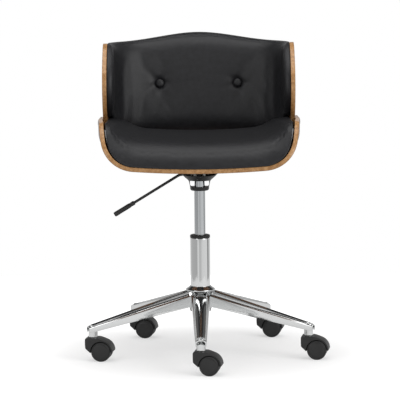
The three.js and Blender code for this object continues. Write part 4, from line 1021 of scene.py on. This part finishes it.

# %% [markdown]
# ## The studio
# A white floor that keeps the chair's soft shadow, and white behind the chair. The floor glows for
# the camera, and about a third as much for a mirror, so that the shadow stays and the chrome's
# undersides stay bright. The glow is weaker near the chair's feet and grows outwards, which paints
# a shade on the floor round the base, greyer than the floor further off.

# %% Floor
FLOOR_HALF = 1.3
FLOOR_IN_MIRRORS = 0.35
scene = bpy.context.scene
bm = bmesh.new()
bmesh.ops.create_grid(bm, x_segments=1, y_segments=1, size=FLOOR_HALF)
mesh = bpy.data.meshes.new("floor")
bm.to_mesh(mesh)
bm.free()
floor = bpy.data.objects.new("floor", mesh)
scene.collection.objects.link(floor)
paper = bpy.data.materials.new("paper")
paper.use_nodes = True
paper.node_tree.nodes.clear()
place = add_node(paper, "ShaderNodeTexCoord").outputs["Object"]
reach = add_node(paper, "ShaderNodeVectorMath", {0: place}, operation="LENGTH")
# Painted shade: half the glow near the chair and full glow from 0.75 m out, so the floor is greyer round the
# base.
glow_with_painted_shade = add_node(paper, "ShaderNodeMapRange", {
    "Value": reach.outputs["Value"], "From Min": 0.25, "From Max": 0.75, "To Min": 0.5, "To Max": 1.0},
    interpolation_type="SMOOTHSTEP")
path = add_node(paper, "ShaderNodeLightPath")
mirrored = {0: path.outputs["Is Glossy Ray"], 1: FLOOR_IN_MIRRORS, 2: path.outputs["Is Camera Ray"]}
ray = add_node(paper, "ShaderNodeMath", mirrored, operation="MULTIPLY_ADD")
shade_and_ray = {0: glow_with_painted_shade.outputs["Result"], 1: ray.outputs[0]}
shown = add_node(paper, "ShaderNodeMath", shade_and_ray, operation="MULTIPLY")
matt = add_node(paper, "ShaderNodeBsdfDiffuse", {"Color": (0.5, 0.5, 0.5, 1)})
glow = add_node(paper, "ShaderNodeEmission", {"Strength": shown.outputs[0]})
both = add_node(paper, "ShaderNodeAddShader", {0: matt.outputs[0], 1: glow.outputs[0]})
add_node(paper, "ShaderNodeOutputMaterial", {"Surface": both.outputs[0]})
mesh.materials.append(paper)
print("made the floor", 2 * FLOOR_HALF, "m wide")

# %% [markdown]
# Chrome shows what stands round it, so mirror rays meet a room: a pale backdrop behind, a grey wall
# on the left with one bright window, a white wall on the right that ends in a dark gap, and a
# ceiling that is nearly unlit. The ramp below runs once round the room, starting behind the chair,
# and a second one fades each wall out above the horizon.

# %% World
SOFT_LIGHT, WHITE = (0.55, 0.55, 0.55, 1), (1, 1, 1, 1)
world = bpy.data.worlds.new("studio")
scene.world = world
world.use_nodes = True
world.node_tree.nodes.clear()
path = add_node(world, "ShaderNodeLightPath")
place = add_node(world, "ShaderNodeTexCoord").outputs["Generated"]
way = add_node(world, "ShaderNodeSeparateXYZ", {0: place})
ahead = add_node(world, "ShaderNodeMath", {0: way.outputs["Y"], 1: -1.0}, operation="MULTIPLY")
compass = {0: way.outputs["X"], 1: ahead.outputs[0]}
bearing = add_node(world, "ShaderNodeMath", compass, operation="ARCTAN2")
round_room = add_node(world, "ShaderNodeMapRange", {
    "Value": bearing.outputs[0], "From Min": -math.pi, "From Max": math.pi})
walls = add_node(world, "ShaderNodeValToRGB", {"Fac": round_room.outputs["Result"]})
backdrop = [(0.0, "#DADADA"), (0.14, "#D0D0D0")]
left_wall = [(0.2, "#C0C0C0"), (0.4, "#B8B8B8")]
window = [(0.415, "#E8E8E8"), (0.455, "#E8E8E8")]
behind_camera = [(0.475, "#C8C8C8"), (0.51, "#CCCCCC")]
right_wall = [(0.57, "#E6E6E6"), (0.74, "#ECECEC")]
dark_gap = [(0.77, "#8C8C8C"), (0.8, "#8C8C8C")]
backdrop_again = [(0.83, "#D8D8D8"), (1.0, "#DADADA")]
colour_steps(walls, backdrop + left_wall + window + behind_camera + right_wall + dark_gap + backdrop_again)
height = add_node(world, "ShaderNodeMapRange", {
    "Value": way.outputs["Z"], "From Min": 0.14, "From Max": 0.6, "To Min": 1.0, "To Max": 0.05})
mirror = add_node(world, "ShaderNodeMix", {
    "Factor": 1.0, COLOUR_A: walls.outputs["Color"], COLOUR_B: height.outputs["Result"]},
    data_type="RGBA", blend_type="MULTIPLY")
soft = add_node(world, "ShaderNodeMix", {
    "Factor": path.outputs["Is Glossy Ray"], COLOUR_A: SOFT_LIGHT, COLOUR_B: mirror.outputs[MIXED]},
    data_type="RGBA")
seen = add_node(world, "ShaderNodeMix", {
    "Factor": path.outputs["Is Camera Ray"], COLOUR_A: soft.outputs[MIXED], COLOUR_B: WHITE},
    data_type="RGBA")
sky = add_node(world, "ShaderNodeBackground", {"Color": seen.outputs[MIXED], "Strength": 1.0})
add_node(world, "ShaderNodeOutputWorld", {"Surface": sky.outputs[0]})
print("made the", world.name)

# %% [markdown]
# Three large, soft lamps: one overhead, a strong one from the front right and a weak one from the
# front left. Small lamps would leave hard white spots on the chrome.


# %% Lamps
def area_lamp(name, place, aim, size, watts):
    lamp = bpy.data.lights.new(name, "AREA")
    lamp.shape = "SQUARE"
    lamp.size = size
    lamp.energy = watts
    obj = bpy.data.objects.new(name, lamp)
    scene.collection.objects.link(obj)
    obj.location = place
    obj.rotation_euler = (Vector(aim) - Vector(place)).to_track_quat("-Z", "Y").to_euler()


area_lamp("overhead", (-0.1, -0.2, 2.7), (0, 0, 0.3), 2.2, 28)
area_lamp("key", (2.1, -1.75, 1.75), (0, 0, 0.6), 1.8, 31)
area_lamp("fill", (-1.8, -2.0, 1.6), (0, 0, 0.5), 1.2, 9)
print("hung three lamps")

# %% [markdown]
# The camera stands six metres off, a little higher than the chair, and looks slightly down through a
# long lens, so the chair is seen almost without perspective.

# %% Camera
PITCH, ROLL, CAMERA_PLACE = 7.13, -0.5, (0.7, -6000, 1147)
lens = bpy.data.cameras.new("camera")
lens.lens = 213
lens.sensor_width = 36
camera = bpy.data.objects.new("camera", lens)
scene.collection.objects.link(camera)
turn = Matrix.Rotation(math.radians(90 - PITCH), 4, "X") @ Matrix.Rotation(math.radians(ROLL), 4, "Z")
camera.matrix_world = Matrix.Translation(at(*CAMERA_PLACE)) @ turn
scene.camera = camera
scene.view_settings.view_transform = "Standard"
print("camera", round(-camera.location.y, 2), "m in front")
